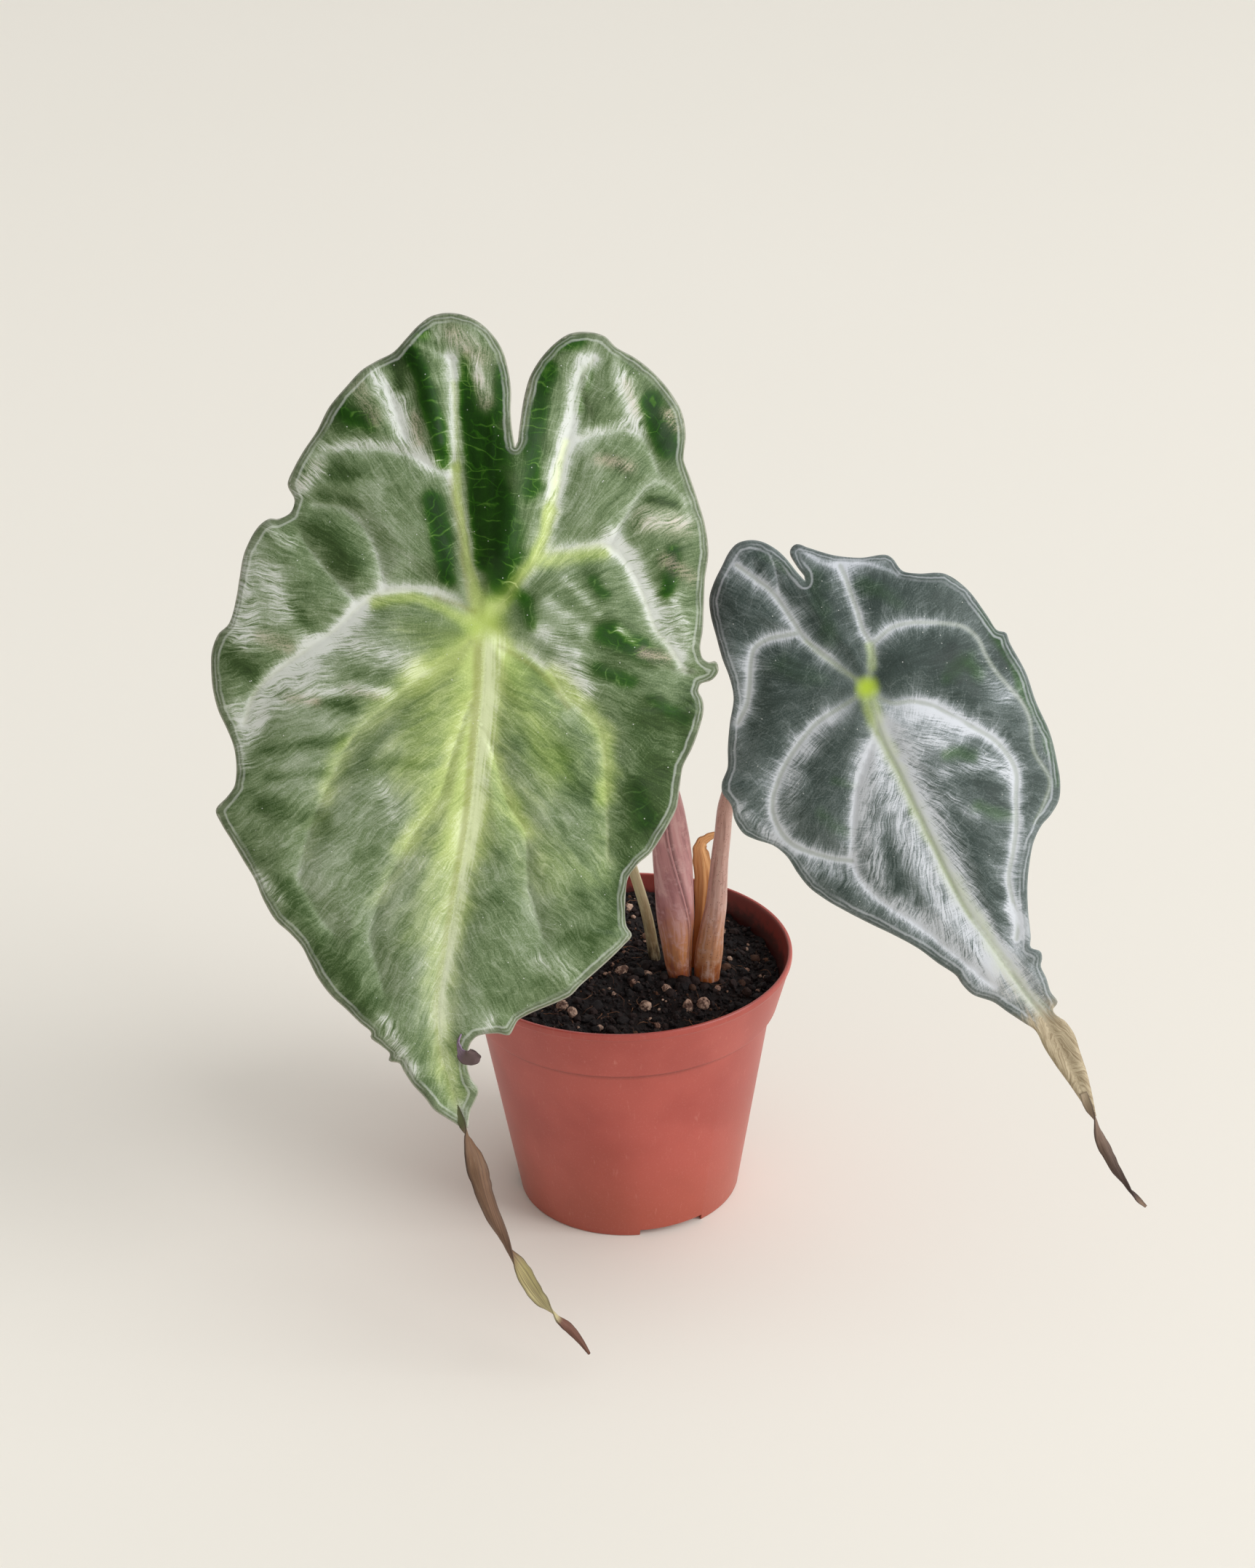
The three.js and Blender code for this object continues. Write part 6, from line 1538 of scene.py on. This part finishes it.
def stalk_finish(name, foot, low, middle, shadow, high, spots, seamed=False):
    """Skin of a stalk: a brown foot, a streaked and speckled middle, colours by height; a seamed stalk also
    gets painted shade on the side away from the lamp.
    """
    p = paint(name)
    streaks = p.streaks(p["angle"], p["height"], 0.0, (18, 0.05))
    mottle = p.streaks(p["angle"], p["height"], 3.0, (9, 0.22), 4, 0.65)
    dots = p.cells(p.place(p["angle"], p["height"], 0.0, (20, 0.8, 1)), 1.0, "F1")
    height = p["height"] + (mottle - 0.5) * 24
    tint = p.mix(p.band(height, 86, 97), foot, low)
    tint = p.mix(p.band(height, 97, 122), tint, middle)
    tint = p.mix(p.band(height, 170, 235), tint, high)
    if seamed:
        # Painted shade: the seamed stalk's side away from the lamp, darker in the shadow colour
        painted_shade_side = p.band(p["angle"], 0.38, 0.62) * p.band(p["angle"], 0.98, 0.72, 0.35, 1.0)
        tint = p.mix(painted_shade_side * p.band(p["height"], 88, 120, 0.1, 0.55), tint, shadow)
        seam = p.larger(p.band(p["angle"], 0.965, 0.995), p.band(p["angle"], 0.06, 0.01))
        tint = p.mix(seam * 0.75, tint, (92, 48, 50))
    tint = p.mix(p.band(streaks, 0.50, 0.66, 0.0, 0.45), tint, shadow)
    tint = p.mix(p.band(streaks, 0.48, 0.34, 0.0, 0.5), tint, high)
    tint = p.mix(p.band(mottle, 0.50, 0.68, 0.0, 0.45), tint, high)
    tint = p.mix(p.band(dots, 0.24, 0.10) * spots, tint, shadow)
    return p.finish(tint, 0.42, 0.4, p.bump(streaks * 0.7 + mottle * 0.3, 0.18, 0.7), subsurface_weight=0.08,
                    subsurface_radius=(1.0, 0.4, 0.3), subsurface_scale=1.5 * MM)


def sheath_finish():
    """Orange-tan paper with brown fibres and spots."""
    p = paint("dry_sheath_skin")
    fibre = p.streaks(p["side"], p["run"], 0.0, (5, 1.6), 4, 0.65)
    spots = p.streaks(p["side"], p["run"], 6.0, (2, 14))
    tint = p.mix(p.band(fibre, 0.3, 0.6), (206, 136, 76), (236, 186, 130))
    tint = p.mix(p.band(fibre, 0.58, 0.72, 0.0, 0.7), tint, (130, 66, 32))
    tint = p.mix(p.band(spots, 0.6, 0.75, 0.0, 0.6), tint, (104, 52, 30))
    tint = p.mix(p.band(p["run"], 0.5, 0.1), tint, (158, 92, 44))
    tint = p.mix(p.band(abs(p["side"]), 0.7, 1.0, 0.0, 0.6), tint, (140, 74, 36))
    return p.finish(tint, 0.6, 0.3, p.bump(fibre, 0.4, 0.8))


def pot_finish(inside):
    """Moulded plastic: salmon-terracotta, faint mottling, fine grain and scuffs; browner near the foot as a
    painted floor reflection, a painted shade line under the lip, and on the inside painted shade over all,
    with a soil stain at the soil's level.
    """
    p = paint("pot_inside" if inside else "pot_plastic")
    z = p.add("SeparateXYZ", {0: p.body()}, 2)
    cloud = p.noise(p.body(), 28, 3, 0.55)
    grain = p.noise(p.body(), 1500, 2, 0.6)
    scuff = p.noise(p.vector("MULTIPLY", p.body(), (700, 700, 90)), 1, 3, 0.6)
    tint = p.mix(p.band(cloud, 0.35, 0.65), (164, 66, 56), (178, 79, 68))
    # Painted reflection: browner towards the foot, where the pale floor lights it
    tint = p.mix(p.band(z + (cloud - 0.5) * 0.04, 0.055, 0.0, 0.0, 0.5), tint, (158, 78, 52))
    tint = p.mix(p.band(scuff, 0.62, 0.8, 0.0, 0.25), tint, (220, 150, 138))
    # Painted shade: a dark line in the crease under the lip, where the lip's shadow falls
    crease = p.band(z, 0.0722, 0.0742) * p.band(z, 0.0757, 0.0750)
    tint = p.mix(crease * 0.5, tint, (112, 44, 38))
    tint = p.mix(p.band(grain, 0.55, 0.8, 0.0, 0.12), tint, (235, 170, 158))
    if inside:
        # Painted shade: the whole inside darker and redder than the outside
        tint = p.mix(0.7, tint, (112, 34, 30))
        crust = z + (p.noise(p.body(), 260, 4, 0.7) - 0.5) * 0.012
        tint = p.mix(p.band(crust, 0.0925, 0.087, 0.0, 0.8), tint, (34, 20, 18))
    return p.finish(tint, 0.4, 0.6, p.bump(grain * 0.6 + scuff * 0.4, 0.05, 0.6), subsurface_weight=0.06,
                    subsurface_radius=(1.0, 0.3, 0.2), subsurface_scale=2 * MM)


def soil_finish():
    """Near-black peat with rust-brown grit."""
    p = paint("soil_bed_skin")
    clods = p.noise(p.body(), 420, 4, 0.65)
    grit = p.noise(p.body(), 2600, 3, 0.7)
    tint = p.mix(p.band(clods, 0.35, 0.7), (13, 8, 8), (32, 21, 20))
    tint = p.mix(p.band(grit, 0.58, 0.75, 0.0, 0.5), tint, (96, 70, 52))
    return p.finish(tint, 0.8, 0.35, p.bump(clods + grit, 0.9, 1.0))


def crumb_finish():
    """Peat crumbs, a few of them rust-brown."""
    p = paint("soil_crumb")
    grit = p.noise(p.body(), 1900, 3, 0.7)
    tint = p.mix(p.band(p["tone"], 0.3, 0.95), (15, 9, 10), (42, 28, 25))
    tint = p.mix(p.band(p["tone"], 0.95, 0.99), tint, (104, 72, 52))
    tint = p.mix(p.band(grit, 0.52, 0.75, 0.0, 0.35), tint, (66, 46, 40))
    return p.finish(tint, 0.75, 0.35, p.bump(grit, 0.4, 1.0))


def pumice_finish():
    """Porous beige grains with dark stains."""
    p = paint("pumice")
    pores = p.cells(p.body(), 1500, "F1")
    shade_and_stain = p.noise(p.body(), 420, 3, 0.65)
    tint = p.mix(p["tone"], (140, 108, 92), (192, 164, 144))
    tint = p.mix(p.band(shade_and_stain, 0.46, 0.60, 0.0, 0.85), tint, (66, 42, 36))
    return p.finish(tint, 0.85, 0.2, p.bump(pores, 0.2, 0.6))


def fibre_finish():
    """Dry brown strands."""
    p = paint("soil_fibre")
    tint = p.mix(p.band(p.noise(p.body(), 140, 2), 0.35, 0.65), (70, 44, 32), (132, 94, 66))
    return p.finish(tint, 0.7, 0.3)


# Camera, floor and light

def camera():
    """The photograph's viewpoint: lifted, and rolled a little."""
    data = bpy.data.cameras.new("camera")
    data.lens = CAMERA_LENS
    data.sensor_width = CAMERA_SENSOR
    data.clip_end = 50
    view = bpy.data.objects.new("camera", data)
    lift, roll = CAMERA_LIFT * DEGREE, CAMERA_ROLL * DEGREE
    ahead = Vector((0, math.cos(lift), -math.sin(lift)))
    level = Vector((1, 0, 0))
    up = level.cross(ahead)
    side = level * math.cos(roll) + up * math.sin(roll)
    top = up * math.cos(roll) - level * math.sin(roll)
    rows = [(side[i], top[i], -ahead[i], CAMERA_PLACE[i] * MM) for i in range(3)]
    view.matrix_world = Matrix([*rows, (0, 0, 0, 1)])
    bpy.context.scene.collection.objects.link(view)
    bpy.context.scene.camera = view


def backdrop():
    """A plain pale round floor with a low sweep far away on every side."""
    p = paint("backdrop")
    tint = p.mix(p.noise(p.body(), 1.2, 2), (240, 236, 226), (242, 238, 229))
    material = p.finish(tint, 0.9, 0.1)
    line = [(radius, 0) for radius in FLOOR_RINGS]
    for k in range(1, SWEEP_STEPS + 1):
        turn = math.pi / 2 * k / SWEEP_STEPS
        line.append((FLOOR_RINGS[-1] + SWEEP_RADIUS * math.sin(turn), SWEEP_RADIUS * (1 - math.cos(turn))))
    line.append((FLOOR_RINGS[-1] + SWEEP_RADIUS, SWEEP_TOP))
    sides = FLOOR_SIDES
    turns = [2 * math.pi * k / sides for k in range(sides)]
    points = [(r * math.cos(t), r * math.sin(t), z) for r, z in line for t in turns]
    faces = [tuple(range(sides))]
    for k in range(len(line) - 1):
        for i in range(sides):
            j = (i + 1) % sides
            faces.append((k * sides + i, (k + 1) * sides + i, (k + 1) * sides + j, k * sides + j))
    floor = mesh_object("backdrop", points, faces, [material])
    floor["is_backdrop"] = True


def room():
    """Soft light from all round, brighter to the right and above."""
    world = bpy.data.worlds.new("studio")
    bpy.context.scene.world = world
    p = Paint(world)
    way = p.add("TexCoord", {}, "Generated")
    slant = p.add("SeparateXYZ", {0: way}, "Z") * ROOM_RISE + p.add("SeparateXYZ", {0: way}, "X")
    tint = p.mix(p.band(slant, -0.8, 1.0), ROOM_DIM, ROOM_BRIGHT)
    p.close("World", p.add("Background", {0: tint, 1: ROOM_LEVEL}))


def key_lamp():
    """One wide lamp, from the front right."""
    data = bpy.data.lights.new("key", "AREA")
    data.shape = "DISK"
    data.size = LAMP_SIZE * MM
    data.energy = LAMP_POWER
    data.color = LAMP_TINT
    lamp = bpy.data.objects.new("key", data)
    lamp.location = Vector(LAMP_PLACE) * MM
    lamp.rotation_mode = "QUATERNION"
    lamp.rotation_quaternion = (Vector(LAMP_TARGET) - Vector(LAMP_PLACE)).to_track_quat("-Z", "Y")
    bpy.context.scene.collection.objects.link(lamp)


# Build

def make_leaves():
    """Both blades with their drip tips, and the curl of the left rim."""
    underside, rim_edge = under_face(), edge_face()
    dress(blade(LEFT_LEAF, [upper_face(LEFT_LEAF), underside, rim_edge]), "left_blade", "leaf_left_blade")
    dress(blade(RIGHT_LEAF, [upper_face(RIGHT_LEAF), underside, rim_edge]), "right_blade", "leaf_right_blade")
    left_tip = dry_tip("left_dry_tip", [
        (0.06, (96, 104, 66)), (0.16, (112, 84, 62)), (0.5, (118, 88, 68)), (0.58, (164, 152, 104)),
        (0.78, (196, 186, 140)), (0.82, (112, 74, 60)),
    ])
    right_tip = dry_tip("right_dry_tip", [
        (0.0, (176, 158, 132)), (0.3, (120, 98, 84)), (0.8, (62, 46, 42)), (0.95, (140, 116, 98)),
    ])
    dress(ribbon("left_drip_tip", RIBBONS["left_drip_tip"], left_tip), "left_blade")
    dress(ribbon("left_rim_curl", RIBBONS["left_rim_curl"], curl_finish()), "left_blade")
    dress(ribbon("right_drip_tip", RIBBONS["right_drip_tip"], right_tip), "right_blade")


def make_stalks():
    """Three stalks, each with its foot, low, middle, shadow and high colours, and the dry sheath."""
    left_skin = stalk_finish("left_stalk_skin", (176, 96, 44), (222, 154, 100), (212, 158, 158),
                             (150, 94, 100), (232, 192, 190), 0.25, seamed=True)
    right_skin = stalk_finish("right_stalk_skin", (168, 92, 38), (198, 142, 104), (202, 162, 150),
                              (128, 84, 76), (218, 188, 176), 0.7)
    slim_skin = stalk_finish("slim_stalk_skin", (60, 46, 36), (176, 162, 126), (216, 208, 166),
                             (176, 164, 120), (222, 216, 180), 0.1)
    left = stalk_piece("left_stalk_skin", LEFT_STALK, left_skin, 60, 170, LEFT_LEAF)
    dress(left, "left_stalk", "leaf_left_stalk")
    right = stalk_piece("right_stalk_skin", RIGHT_STALK, right_skin, 48, 170, RIGHT_LEAF)
    dress(right, "right_stalk", "leaf_right_stalk")
    dress(stalk_piece("slim_stalk_skin", SLIM_STALK, slim_skin, 28, 90), "slim_stalk", "slim_stalk")
    dress(sheath_piece("dry_sheath_skin", sheath_finish()), "dry_sheath", "dry_sheath")


def make_soil():
    """The bed and its loose grains. The order of these calls sets the random draws."""
    random = np.random.default_rng(SOIL_SEED)
    dress(soil_bed(soil_finish()), "soil", "soil")
    crumb_skin = crumb_finish()
    dress(stones("soil_lumps", *scatter(*LUMPS, random), crumb_skin, 1, 0.16, random), "soil")
    dress(stones("soil_clods", *laid(CLODS), crumb_skin, 2, 0.10, random, flat=False), "soil")
    dress(stones("soil_crumbs", *scatter(*CRUMBS, random), crumb_skin, 0, 0.2, random), "soil")
    places, sizes = laid(PUMICE)
    more, more_sizes = scatter(*SMALL_PUMICE, random)
    dress(stones("soil_pumice", places + more, sizes + more_sizes, pumice_finish(), 2, 0.10, random), "soil")
    dress(fibres("soil_fibres", fibre_finish(), random), "soil")


bpy.context.scene.view_settings.view_transform = "Standard"
camera()
backdrop()
room()
key_lamp()
make_leaves()
make_stalks()
dress(pot_piece(pot_finish(False), pot_finish(True)), "pot", "pot")
make_soil()

low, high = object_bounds()
{"cad": [list(CAD_BOX[0]), list(CAD_BOX[1])], "visual": [list(low), list(high)]}
